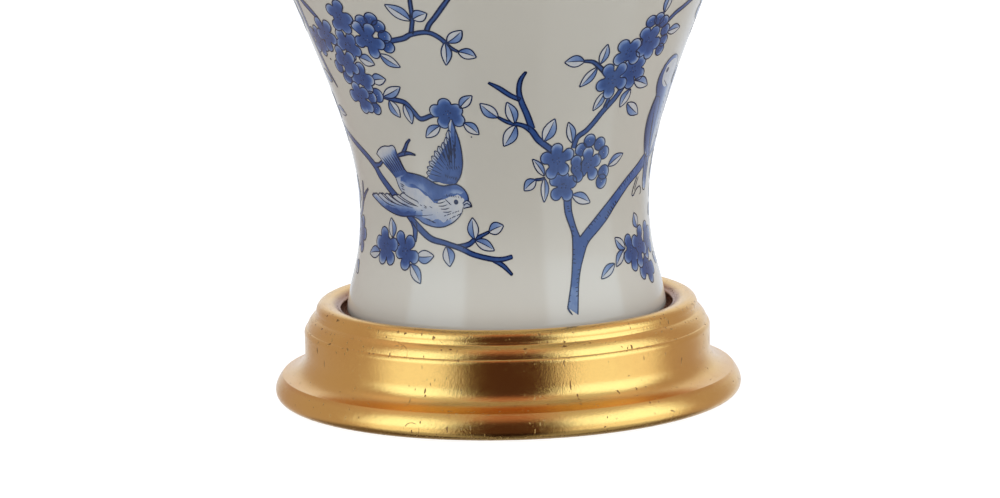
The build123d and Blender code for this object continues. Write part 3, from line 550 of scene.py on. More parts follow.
# %% A flat sheet to draw on
# Millimetres on paper for a degree and for a millimetre of the urn, then the step from one
# layer to the next, the rise of a line over its wash, and the width of a line.
FLAT = np.array((1.1345, 1.0))
LAYER, LINE_LIFT, LINE_WIDTH = 0.03, 0.012, 0.50
WASHES, LINES = ([], [], []), ([], [], [])
CHANCE = random.Random(7)


def mark(kind, points, faces, level, tones):
    """Adds triangles to the washes or the lines. A tone goes from 0, deep blue, to 1, pale."""
    store_points, store_faces, store_tones = kind
    lift = level * LAYER + (LINE_LIFT if kind is LINES else 0)
    first = sum(len(block) for block in store_points)
    across = np.asarray(points) / FLAT
    store_points.append(np.column_stack([across, np.full(len(across), lift)]))
    store_faces.append(np.asarray(faces) + first)
    store_tones.append(np.broadcast_to(tones, len(across)))


def strip(kind, left, right, level, tones=0.0, closed=False):
    """Triangles between two edges, the left one on the left hand going along."""
    count = len(left)
    step = np.arange(count if closed else count - 1)
    after = (step + 1) % count
    one = np.column_stack([step + count, after + count, after])
    two = np.column_stack([step + count, after, step])
    mark(kind, np.vstack([left, right]), np.vstack([one, two]), level, tones)


def flow(points, steps=6):
    """A smooth line through points, which may hold a width beside their place."""
    p = np.array([points[0], *points, points[-1]], float)
    line_points = []
    for a, b, c, d in zip(p, p[1:], p[2:], p[3:]):
        for t in np.arange(steps) / steps:
            pull = 2 * a - 5 * b + 4 * c - d + t * (3 * (b - c) + d - a)
            line_points.append(b + 0.5 * t * (c - a + t * pull))
    return np.array([*line_points, p[-1]])


def sides(path, closed=False):
    """The unit vector to the left of a flat path at each of its points."""
    ahead, back = np.roll(path, -1, 0), np.roll(path, 1, 0)
    if not closed:
        ahead[-1], back[0] = path[-1], path[0]
    run = ahead - back
    length = np.maximum(np.hypot(run[:, 0], run[:, 1]), 1e-9)
    return np.column_stack([-run[:, 1], run[:, 0]]) / length[:, None]


def pen(path, level, width=LINE_WIDTH, ends=(1.0, 1.0), closed=False):
    """A navy line along a flat path in millimetres, with its ends drawn finer or not."""
    share = np.interp(np.linspace(0, 1, len(path)), (0, 0.35, 0.65, 1), (ends[0], 1, 1, ends[1]))
    out = sides(path, closed) * (share * width / 2)[:, None]
    strip(LINES, path + out, path - out, level, closed=closed)


def stroke(points, level, width=LINE_WIDTH, ends=(0.6, 0.2)):
    """One movement of the brush through points given in degrees and millimetres."""
    pen(flow(points) * FLAT, level, width, ends)


# %% Washes of any outline
def wash(outline, level, cell=1.3):
    """Fills a closed outline of (angle, height, tone), the tone soft between its points."""
    edge = np.array(outline, float)
    flat = edge[:, :2] * FLAT
    low, high = flat.min(0), flat.max(0)
    inner = [(x, y) for x in np.arange(low[0], high[0], cell) for y in np.arange(low[1], high[1], cell)]
    clear = [p for p in inner if np.hypot(*(flat - p).T).min() > 0.5 * cell]
    points = [Vector(p) for p in (*flat.tolist(), *clear)]
    done = delaunay_2d_cdt(points, [], [list(range(len(flat)))], 1, 1e-6)
    places = np.array([tuple(p) for p in done[0]])
    near = 1 / (((places[:, None] - flat[None]) ** 2).sum(2) + 0.5) ** 1.5
    tones = (near * edge[:, 2]).sum(1) / near.sum(1)
    faces = []
    for a, b, c in done[2]:
        ab, ac = places[b] - places[a], places[c] - places[a]
        faces.append((a, b, c) if ab[0] * ac[1] > ab[1] * ac[0] else (a, c, b))
    mark(WASHES, places, faces, level, tones)


# %% Blossom, leaf and twig
def blossom(centre, lobe, lobes, level=5, dots=5):
    """Round petals about a centre. Each fades from deep blue to pale at its rim."""
    middle = np.array(centre) * FLAT
    arms = [np.array(place) * FLAT - middle for place in lobes]
    shine = [CHANCE.uniform(0.55, 1.0) for _ in arms]
    core = 0.84 * min(np.hypot(*arm) for arm in arms)
    lobe = 1.1 * lobe
    turns = np.radians(np.arange(0, 360, 5))
    rays = np.column_stack([np.cos(turns), np.sin(turns)])
    reach, glow = np.full(len(rays), core), np.zeros(len(rays))
    for arm, bright in zip(arms, shine):
        along = rays @ arm
        spare = lobe ** 2 - (arm @ arm - along ** 2)
        meets = (along > 0) & (spare > 0)
        far = along + np.sqrt(np.maximum(spare, 0))
        better = meets & (far > reach)
        reach[better] = far[better]
        glow[better] = (bright * np.minimum(1.0, 1.35 * spare / lobe ** 2))[better]
    shares = np.array((0.02, 0.40, 0.62, 0.76, 0.89, 1.0))
    rings = [middle + rays * (reach * share)[:, None] for share in shares]
    fade = np.clip((shares - 0.58) / 0.42, 0, 1) ** 1.1
    for k in range(len(shares) - 1):
        tones = np.concatenate([0.06 + glow * fade[k] * 0.92, 0.06 + glow * fade[k + 1] * 0.92])
        strip(WASHES, rings[k], rings[k + 1], level, tones, closed=True)
    pen(rings[-1], level, closed=True)
    for k in range(dots):
        turn, far = 2 * math.pi * k / dots + CHANCE.uniform(-0.5, 0.5), CHANCE.uniform(0.3, 0.55) * core
        dot(middle + far * np.array((math.cos(turn), math.sin(turn))), CHANCE.uniform(0.22, 0.34), level)


def petals(centre, radius, places, level):
    """Single round petals behind a blossom, each with its pale rim away from the centre."""
    turns = np.radians(np.arange(0, 360, 15))
    rays = np.column_stack([np.cos(turns), np.sin(turns)])
    for k, place in enumerate(places):
        spot = np.array(place) * FLAT
        away = spot - np.array(centre) * FLAT
        glow = np.clip(rays @ away / np.hypot(*away), 0, 1)
        layer = level - 0.1 * k
        rings = [spot + rays * radius * share for share in (0.05, 0.5, 0.8, 1.0)]
        tones = [0.08 + 0.9 * glow * share for share in (0.05, 0.35, 0.75, 1.0)]
        for low, high, low_tone, high_tone in zip(rings, rings[1:], tones, tones[1:]):
            strip(WASHES, low, high, layer, np.concatenate([low_tone, high_tone]), closed=True)
        pen(rings[-1], layer, closed=True)


def dot(place, radius, level, count=8):
    turns = 2 * math.pi * np.arange(count) / count
    rim = place + radius * np.column_stack([np.cos(turns), np.sin(turns)])
    faces = [(0, k, k + 1) for k in range(1, count - 1)]
    mark(LINES, rim, faces, level, 0.0)


def leaf(base, tip, width, dark=1, level=3, bend=0.3):
    """A pointed leaf with a midrib. One half, left (1) or right (-1) of the rib, is shaded."""
    start, run = np.array(base) * FLAT, (np.array(tip) - np.array(base)) * FLAT
    along = np.linspace(0, 1, 15)
    left = np.array((-run[1], run[0])) / np.hypot(*run)
    rib = start + along[:, None] * run + (dark * bend * np.sin(math.pi * along))[:, None] * left
    half = np.maximum(width / 2 * np.sin(math.pi * along ** 0.92) ** 0.9, 0.02)
    for side in (1, -1):
        rim = rib + (side * half)[:, None] * left
        base_tone, tip_tone = (0.34, 0.80) if side == dark else (0.97, 1.0)
        tone = np.tile(np.linspace(base_tone, tip_tone, len(along)), 2)
        pair = (rim, rib) if side == 1 else (rib, rim)
        strip(WASHES, *pair, level, tone)
        pen(rim, level)
    pen(rib[:-2], level, 0.42, (1.0, 0.4))


def twig(points, level=2, close=(False, True)):
    """A stem through points of (angle, height, width), inked on both edges."""
    path = flow(points)
    place, width = path[:, :2] * FLAT, path[:, 2:]
    out = sides(place) * width / 2
    strip(WASHES, place + out, place - out, level, 0.10)
    for rim in (place + out, place - out):
        pen(rim, level, 0.6)
    for shut, k in zip(close, (0, -1)):
        if shut:
            pen(np.array([place[k] + out[k], place[k], place[k] - out[k]]), level)


def ticks(start, end, count, reach, level=4, width=0.4):
    """Short bars in a row from start to end, each reaching off by a vector."""
    for k in range(count):
        share = (k + CHANCE.uniform(-0.15, 0.15)) / max(count - 1, 1)
        place = np.array(start) + share * (np.array(end) - start)
        far = place + np.array(reach) * CHANCE.uniform(0.6, 1.1)
        stroke([tuple(place), tuple((place + far) / 2), tuple(far)], level, width)


# %% Blossom and leaves, as painted
# Each row is a centre, the size of a petal and the places of the petals. The layer and the
# number of dots follow where either isn't five.
PETALS = [
    ((-55, 140), 2.6, [(-59.8, 140.4), (-56.8, 136.2)], 3),
    ((-50, 129), 2.5, [(-46.8, 129.2), (-46.3, 124.6)], 4),
    ((-47, 130), 2.9, [(-43.9, 130.2)], 3),
    ((-39, 155.5), 2.5, [(-37.4, 161.6), (-41, 160.4), (-35.4, 158.7), (-34.2, 154.6), (-33.9, 150.6)], 3.5),
    ((50, 151), 2.4, [(50.1, 157.8), (46.8, 157.1), (52.8, 156.4), (54.8, 152.7), (55.6, 148.5),
                      (55.2, 144.9)], 3.5),
    ((32.5, 105), 2.7, [(36.6, 109.3), (32, 111), (39.1, 105.5), (28.9, 107.7)], 2.8),
    ((36, 97.5), 2.9, [(40.2, 97.5), (39.6, 93.8)], 2.8),
]
BLOSSOMS = [
    ((-67.8, 150.3), 1.9, [(-71, 153), (-66.8, 154.2), (-64.2, 152), (-64, 148), (-66.8, 145.8),
                           (-70.8, 147)], 4),
    ((-60.3, 153), 2.15, [(-62.3, 157.8), (-57.6, 157), (-57, 151.8), (-61, 148.6), (-64, 153)]),
    ((-49.5, 161.5), 2.15, [(-52.3, 164), (-51.8, 158), (-48, 157), (-46.2, 161), (-48.6, 166)]),
    ((-50, 150.3), 2.15, [(-52.2, 154), (-53.3, 150), (-50.2, 145.9), (-46.9, 148), (-47.8, 152.6)], 4),
    ((-54.3, 142.8), 2.1, [(-56, 147), (-57.6, 143.4), (-54.5, 138.8), (-50.7, 140.4), (-51.2, 145)]),
    ((-48.8, 137), 2.1, [(-48, 141), (-45.2, 136.4), (-52.3, 136), (-47, 133)], 4),
    ((-53, 129), 2.2, [(-53.8, 132.4), (-56.8, 128.9), (-52.6, 124.4), (-49.6, 125), (-49.9, 130.6)]),
    ((-40.8, 153), 2.15, [(-43.4, 158), (-39, 157.4), (-36.8, 151.6), (-39.6, 147.9), (-43.9, 152)]),
    ((-18.2, 124), 2.35, [(-18.8, 127.8), (-22, 125.2), (-19.8, 120.8), (-15.2, 125.6), (-14.8, 121.6)], 3),
    ((36.5, 135), 2.25, [(34.3, 139.2), (39.4, 139.2), (40.8, 133.2), (36.3, 130), (33, 133.3)]),
    ((40.6, 145.4), 2.3, [(38.2, 148.4), (42.7, 148.3), (37.6, 143.2), (43.6, 143)], 4),
    ((44.5, 138), 2.25, [(47.3, 141), (48.2, 136), (44.5, 133), (42, 140), (41.5, 136)], 3),
    ((48, 149.4), 2.2, [(45.6, 152.6), (49.8, 152.6), (51.8, 147.9), (49.7, 144.2), (46, 145.5)], 4),
    ((32.6, 101.6), 2.35, [(32, 106), (36, 102.6), (35, 97.4), (30, 99)], 3),
    ((27.6, 100.3), 2.2, [(27.3, 103.2), (28.6, 97)], 4, 4),
    ((23, 93.6), 2.35, [(19.4, 96.2), (26, 95), (24.5, 90), (20, 90.6), (22.5, 97)], 4),
    ((19.6, 104), 2.3, [(19.3, 108.6), (23.8, 106.3), (22.4, 100.3), (17.8, 99.3), (15.6, 105.4)]),
    ((-53, 68.3), 2.5, [(-54, 73.1), (-57.4, 69.3), (-54.8, 63.6), (-49.8, 63.8), (-48.2, 69.3)]),
    ((-41.8, 67.5), 2.4, [(-44.3, 72.6), (-39.3, 71.3), (-37.3, 65.5), (-41.5, 62.6), (-44.6, 66.8)], 4),
    ((57, 64), 2.35, [(55.3, 67.9), (53.9, 61.6), (57.6, 58), (60.5, 62)], 4),
    ((67.5, 56), 2.5, [(62.8, 54), (69, 51.6), (72.6, 54.5), (69, 60)], 3),
    ((64, 65), 2.4, [(60.2, 66.8), (65.3, 70), (68, 63), (62.4, 58.6)]),
    ((72.5, 66), 2.5, [(72, 70.6), (76.5, 68), (76, 62.6), (70, 61)], 4),
    ((85, 95), 2.4, [(82, 98), (81.6, 92.6), (86, 90.6), (88.4, 95), (86, 99.4)], 4),
    ((-84.6, 121.6), 2.3, [(-87, 125), (-81.6, 124.6), (-81.4, 119), (-86, 117.4), (-88.4, 121)], 4),
    ((-84, 86), 2.4, [(-87, 89), (-82, 90.4), (-80.6, 85.4), (-83.6, 81.8), (-88, 84)], 4),
    ((83, 159), 2.4, [(80, 162), (86, 162.6), (87.6, 157.6), (83.4, 154.4), (79, 157)], 4),
    ((82, 128), 2.3, [(79.4, 131), (84.6, 131.6), (86.4, 127), (82.6, 123.8), (79, 126)], 4),
    ((-84, 158), 2.3, [(-87, 161), (-82, 162), (-80.4, 157.6), (-83.4, 154), (-87.6, 155.6)], 4),
    ((-19.4, 180.4), 2.1, [(-22.4, 181.4), (-19.6, 184.4), (-16, 182.4), (-16.8, 177.8), (-21, 177)], 4),
    ((56.6, 180.6), 2.1, [(53.6, 182), (57, 184.6), (60.2, 181.8), (58.8, 177.4), (54.6, 177.4)], 4),
    ((-77, 70), 2.4, [(-72.6, 70.4), (-75.3, 65.2), (-75, 75), (-80.5, 74), (-81, 67)], 4),
]

# Each row is a leaf's base, its tip, its width and the half of it that is shaded.
LEAVES = [
    ((-46.9, 145.4), (-40.9, 142.9), 4.8, 1), ((-37.8, 147.4), (-31.4, 142.5), 4.2, -1),
    ((-44.6, 136), (-38.2, 137.2), 4.6, 1), ((-41.3, 130), (-33.3, 134.4), 4.2, -1),
    ((-39.2, 128.6), (-36.3, 121.8), 4.6, -1), ((-33.5, 127.4), (-32, 119.4), 4.0, 1),
    ((-24.6, 161.4), (-31.5, 167.6), 4.6, -1), ((-24, 162), (-19.6, 164.5), 4.6, 1),
    ((-15.1, 152.9), (-10.5, 157.8), 4.2, -1), ((-15.7, 153), (-16.3, 143.8), 3.5, 1),
    ((-12.3, 149.3), (-7.1, 147), 4.2, 1), ((-13.8, 126.5), (-9.4, 131.6), 3.9, 1),
    ((-1.4, 122.6), (-7.1, 128.4), 4.5, 1), ((4, 119.9), (1.5, 128.8), 4.4, -1),
    ((-13.1, 120.5), (-8.1, 115.8), 4.2, 1), ((-21.4, 119.2), (-27.5, 114.1), 4.2, -1),
    ((25.3, 143.6), (18.9, 143.7), 4.6, -1), ((30.8, 141.9), (32.1, 149.8), 3.6, -1),
    ((30, 140.8), (24.9, 133.4), 3.8, 1), ((34.8, 130.6), (31.3, 123.2), 3.6, 1),
    ((45.8, 130.3), (42.7, 123.3), 4.4, -1), ((46.4, 133.6), (54.4, 130.6), 4.6, 1),
    ((45.8, 124.6), (53.4, 119.2), 4.7, -1), ((51.5, 160), (52.6, 168.4), 3.6, 1),
    ((56.4, 151.7), (63.8, 152.6), 4.0, 1), ((-49, 72), (-49.7, 79.9), 5.0, -1),
    ((-56.8, 65.4), (-65.1, 63.8), 4.8, -1), ((-36.2, 65.8), (-28.2, 66.6), 5.2, -1),
    ((-38.8, 62.6), (-33.3, 55.5), 4.8, 1), ((-11.6, 73.6), (-12.4, 82.3), 4.8, 1),
    ((-6.2, 76.6), (-0.5, 79.1), 4.8, 1), ((-11.5, 73.3), (-4.1, 69.3), 4.2, 1),
    ((-23, 70.6), (-21.4, 62.8), 5.4, 1), ((45.6, 60.2), (37.7, 55.3), 4.0, -1),
    ((53, 65), (47.2, 70.2), 4.4, 1), ((52, 64.8), (46.2, 58.9), 4.2, -1),
    ((63.6, 72), (61, 78.2), 5.0, 1), ((4.4, 119.4), (0.2, 110.9), 5.2, 1),
    ((14.2, 112.2), (17.6, 121.2), 5.2, -1), ((25, 110.8), (22.6, 119.4), 3.8, -1),
    ((15.1, 98.2), (10.4, 105.3), 3.2, -1), ((11.9, 96.9), (7.5, 92.7), 4.6, -1),
    ((15.1, 97.4), (15.2, 87.6), 3.4, 1), ((26.4, 89.6), (34.8, 85.8), 4.6, 1),
    ((42.2, 99.7), (49.6, 103.8), 4.2, 1), ((-78, 121.4), (-69, 119.4), 3.6, 1),
    ((-81, 58.5), (-75.2, 54), 4.4, 1), ((-71, 133), (-78, 137), 4.4, 1),
    ((84, 105), (79, 112), 4.6, 1), ((88, 104), (84, 111), 4.0, -1),
    ((-81, 113), (-84, 106), 4.4, 1), ((-80.6, 78), (-86, 68.6), 4.4, -1),
    ((83, 152.4), (84, 145), 4.4, 1), ((81, 122), (84.6, 115.6), 4.2, -1),
    ((-9.8, 176), (-4.4, 179.4), 4.2, 1), ((-11, 173.6), (-5.6, 171.6), 3.8, -1),
    ((-77.4, 179), (-80, 186), 4.4, 1), ((-75.6, 176), (-70, 180), 4.2, -1),
    ((84, 169.8), (80.4, 177), 4.4, 1), ((-85, 172), (-88.4, 179), 4.0, 1),
    ((86.4, 87.6), (82.4, 81), 4.2, 1), ((79.6, 74.6), (84.4, 78.6), 4.0, 1),
    ((78, 58.6), (85, 55.4), 4.4, -1),
]


# %% Stems and the old trunk
def draw_stems():
    twig([(-32.5, 153, 1.7), (-28, 154.3, 1.7), (-25.5, 155.9, 1.5), (-20.5, 156.9, 1.5), (-17, 154.7, 1.4),
          (-14.6, 151.2, 1.1), (-12.3, 149.3, 0.7)])
    twig([(-22.4, 176, 0.4), (-23.6, 171, 0.9), (-24, 163, 1.1), (-24.7, 159, 1.1), (-25.4, 156.2, 1.3)],
         close=(True, False))
    twig([(-10.2, 175, 0.5), (-13.4, 170, 1.1), (-14.9, 167.4, 1.3), (-17.5, 163, 1.3), (-19.5, 160, 1.3),
          (-20.6, 157.3, 1.4)], close=(True, False))
    twig([(-42, 130, 1.4), (-37, 129, 1.7), (-33, 128, 1.8), (-30.6, 124.8, 1.8), (-28.2, 121.7, 1.7),
          (-24, 123.2, 1.5), (-21, 124, 1.5)])
    twig([(-4.1, 136.8, 0.5), (-1, 134.6, 1.4), (2.4, 131.6, 1.5), (5.6, 129.6, 1.4)])
    twig([(7.3, 140.7, 0.6), (5.7, 137.4, 1.3), (5.3, 133, 1.5), (6.2, 128.5, 1.8), (8.2, 123, 2.0),
          (9.9, 117.5, 2.2)], close=(True, False))
    twig([(-1.4, 122.7, 0.7), (2, 120.5, 1.2), (6.5, 119.2, 1.4), (9.8, 116.8, 2.1), (12.5, 112.8, 2.2),
          (17.5, 108.4, 2.2)], level=2.5)
    twig([(25.2, 143.7, 0.8), (28, 143.2, 1.2), (30.2, 141.4, 1.4), (33, 138.6, 1.6)])
    twig([(54, 155.6, 1.4), (57.5, 159, 1.7), (61, 160.9, 1.7), (65.2, 163.3, 1.9)])
    twig([(65.2, 163.3, 1.7), (63.8, 165.6, 2.2), (62, 168.6, 2.2), (59.6, 172.4, 1.2), (58.4, 176.4, 0.5)],
         close=(False, True))
    twig([(65.2, 163.3, 1.9), (72, 166.6, 2.0), (80, 168.6, 2.0), (90, 169.4, 1.9)], close=(False, False))
    twig([(41.9, 131.8, 2.0), (39.5, 127.4, 2.0), (35.5, 122.6, 2.1), (32.4, 118.2, 2.0), (29.8, 115.2, 1.9),
          (26.8, 112.9, 1.9), (25.6, 108.6, 2.0)], close=(False, False))
    twig([(37.8, 130.4, 1.0), (36.7, 127, 1.2), (35.9, 124, 1.4)], close=(False, False))
    twig([(-90, 114.4, 2.0), (-84, 113.8, 2.1), (-78, 112, 2.3), (-70, 108.7, 2.6), (-62, 104.6, 2.6),
          (-56.5, 100.4, 2.8), (-54, 96.6, 3.0), (-49.5, 92, 2.9), (-45.6, 88.6, 2.8)])
    twig([(-55.4, 100.6, 1.9), (-53.2, 101, 1.5), (-51.6, 102, 1.2), (-50.2, 103, 0.9)], level=2.5)
    twig([(-41.6, 105.7, 1.0), (-38.6, 106.8, 1.5), (-36, 107.2, 1.1), (-33.2, 106.7, 0.4)])
    twig([(-38.7, 107, 1.5), (-37.2, 109.2, 1.3), (-36, 111.2, 1.0), (-34.3, 113, 0.5)])
    twig([(-90, 75, 2.2), (-83, 75.6, 2.1), (-77.4, 79, 1.9), (-74, 83.6, 1.7), (-70.5, 86.7, 1.3),
          (-66, 89.6, 0.5)])
    twig([(-74, 84, 1.4), (-72.6, 88, 1.5), (-71.4, 92, 0.8)])
    twig([(-40.4, 82, 2.2), (-38, 79.6, 2.6), (-36.9, 76.2, 2.3), (-37.2, 71.6, 1.6)])
    twig([(-38.2, 80.4, 2.0), (-35.6, 77.8, 2.5), (-32, 74.8, 2.5), (-28.8, 73, 2.2), (-24, 72, 1.9),
          (-20, 70.9, 1.8), (-16.8, 69.9, 2.0), (-12, 67.7, 1.7), (-5, 66, 1.7), (-1, 65.9, 1.5),
          (2.5, 66.8, 1.3)], level=2.5)
    twig([(-18.2, 70.6, 1.7), (-14, 71.7, 1.7), (-11.2, 73.9, 1.5), (-6.2, 76.6, 0.8)], level=2)
    twig([(-4.6, 65.6, 1.3), (-1, 63.4, 1.5), (2.3, 59.8, 0.8)])
    twig([(15.4, 97.2, 0.9), (13, 96.9, 0.8), (11.6, 96.9, 0.6)])
    twig([(-77, 178, 0.6), (-73.5, 172, 1.5), (-69.5, 167, 1.9), (-65, 163, 2.2), (-61.4, 159.4, 1.5)],
         close=(True, True))
    twig([(-90, 172, 2.2), (-80, 170, 2.3), (-74.5, 167, 2.4), (-73.8, 152, 2.5), (-72, 140, 2.2),
          (-67.8, 131, 0.7)])


def draw_trunk():
    left = [(22, 46), (23.1, 50), (24.5, 55), (25.5, 60), (26.3, 66), (26.6, 71), (26.4, 74.4), (25.4, 77.6),
            (24.2, 81), (23.5, 84), (23.1, 89)]
    fork = [(26.2, 89), (26.4, 84), (27.3, 80), (28.4, 76.4), (29.9, 72.6), (33, 75.6), (36.5, 78.7),
            (40, 81.8), (45, 86), (50, 90.2), (55, 94), (60, 97.1), (65.8, 101), (70, 103), (78, 105.6),
            (90, 107)]
    right = [(90, 103.4), (79, 101.4), (70.4, 97.6), (63, 93.6), (57, 90.5), (53, 87.5), (49.5, 84.4),
             (46.5, 81.5), (43.5, 78.4), (38.5, 74.2), (35, 71.5), (32.8, 69), (31, 65), (29, 60),
             (27.5, 54.5), (26.5, 49), (25.6, 43)]
    rim = [tuple(p) for run in (left, fork, right) for p in flow(run, 3)]
    wash([(a, z, 0.50 if z < 54 else 0.20 if a < 48 else 0.32) for a, z in rim], 3)
    for run in (left, fork[:5], fork[4:], right):
        stroke(run, 3, 0.6, (1, 1))
    stroke([(22, 46), (22.6, 44.6), (23.6, 43.1)], 3, 0.8, (1, 0.4))
    ticks((26.4, 68), (26.1, 62.6), 4, (1.6, -0.3), 3)
    ticks((28.8, 59.8), (26.7, 50.4), 7, (-1.5, -0.2), 3)
    ticks((23.2, 51), (22.8, 48), 2, (0.9, -0.2), 3)
    ticks((26.3, 77), (26.5, 73.6), 3, (1.2, -0.4), 3)
    ticks((24.4, 85.4), (24.9, 83.4), 3, (1.5, -0.2), 3)
    ticks((33.8, 76.2), (38.8, 80.6), 5, (1.2, -1.0), 3)
    ticks((43.2, 77.9), (48.6, 83.6), 7, (-1.5, 1.7), 3, 0.55)
    ticks((50, 89.9), (58, 95.8), 8, (0.9, -1.3), 3)
    ticks((31.8, 68.6), (33.6, 70.6), 2, (-0.4, 0.9), 3)


# %% The bird in flight
def feather_fan(root, tips, level, width, tones):
    """Long feathers from a root to their tips, each over the last, with rounded ends."""
    start = np.array(root) * FLAT
    for k, tip in enumerate(tips):
        end = np.array(tip) * FLAT
        run = end - start
        along = np.linspace(0, 1, 12)
        left = np.array((-run[1], run[0])) / np.hypot(*run)
        rounding = 1 - np.clip((along - 0.86) / 0.14, 0, 1) ** 2
        half = width / 2 * np.sqrt(np.clip(rounding, 0.02, 1)) * (0.35 + 0.65 * along)
        place = start + along[:, None] * run
        out = half[:, None] * left
        tone = np.tile(np.interp(along, (0, 0.45, 1), tones), 2)
        layer = level + 0.05 * k
        strip(WASHES, place + out, place - out, layer, tone)
        rim = np.vstack([(place + out)[4:], (place - out)[:3:-1]])
        pen(rim, layer, 0.4)


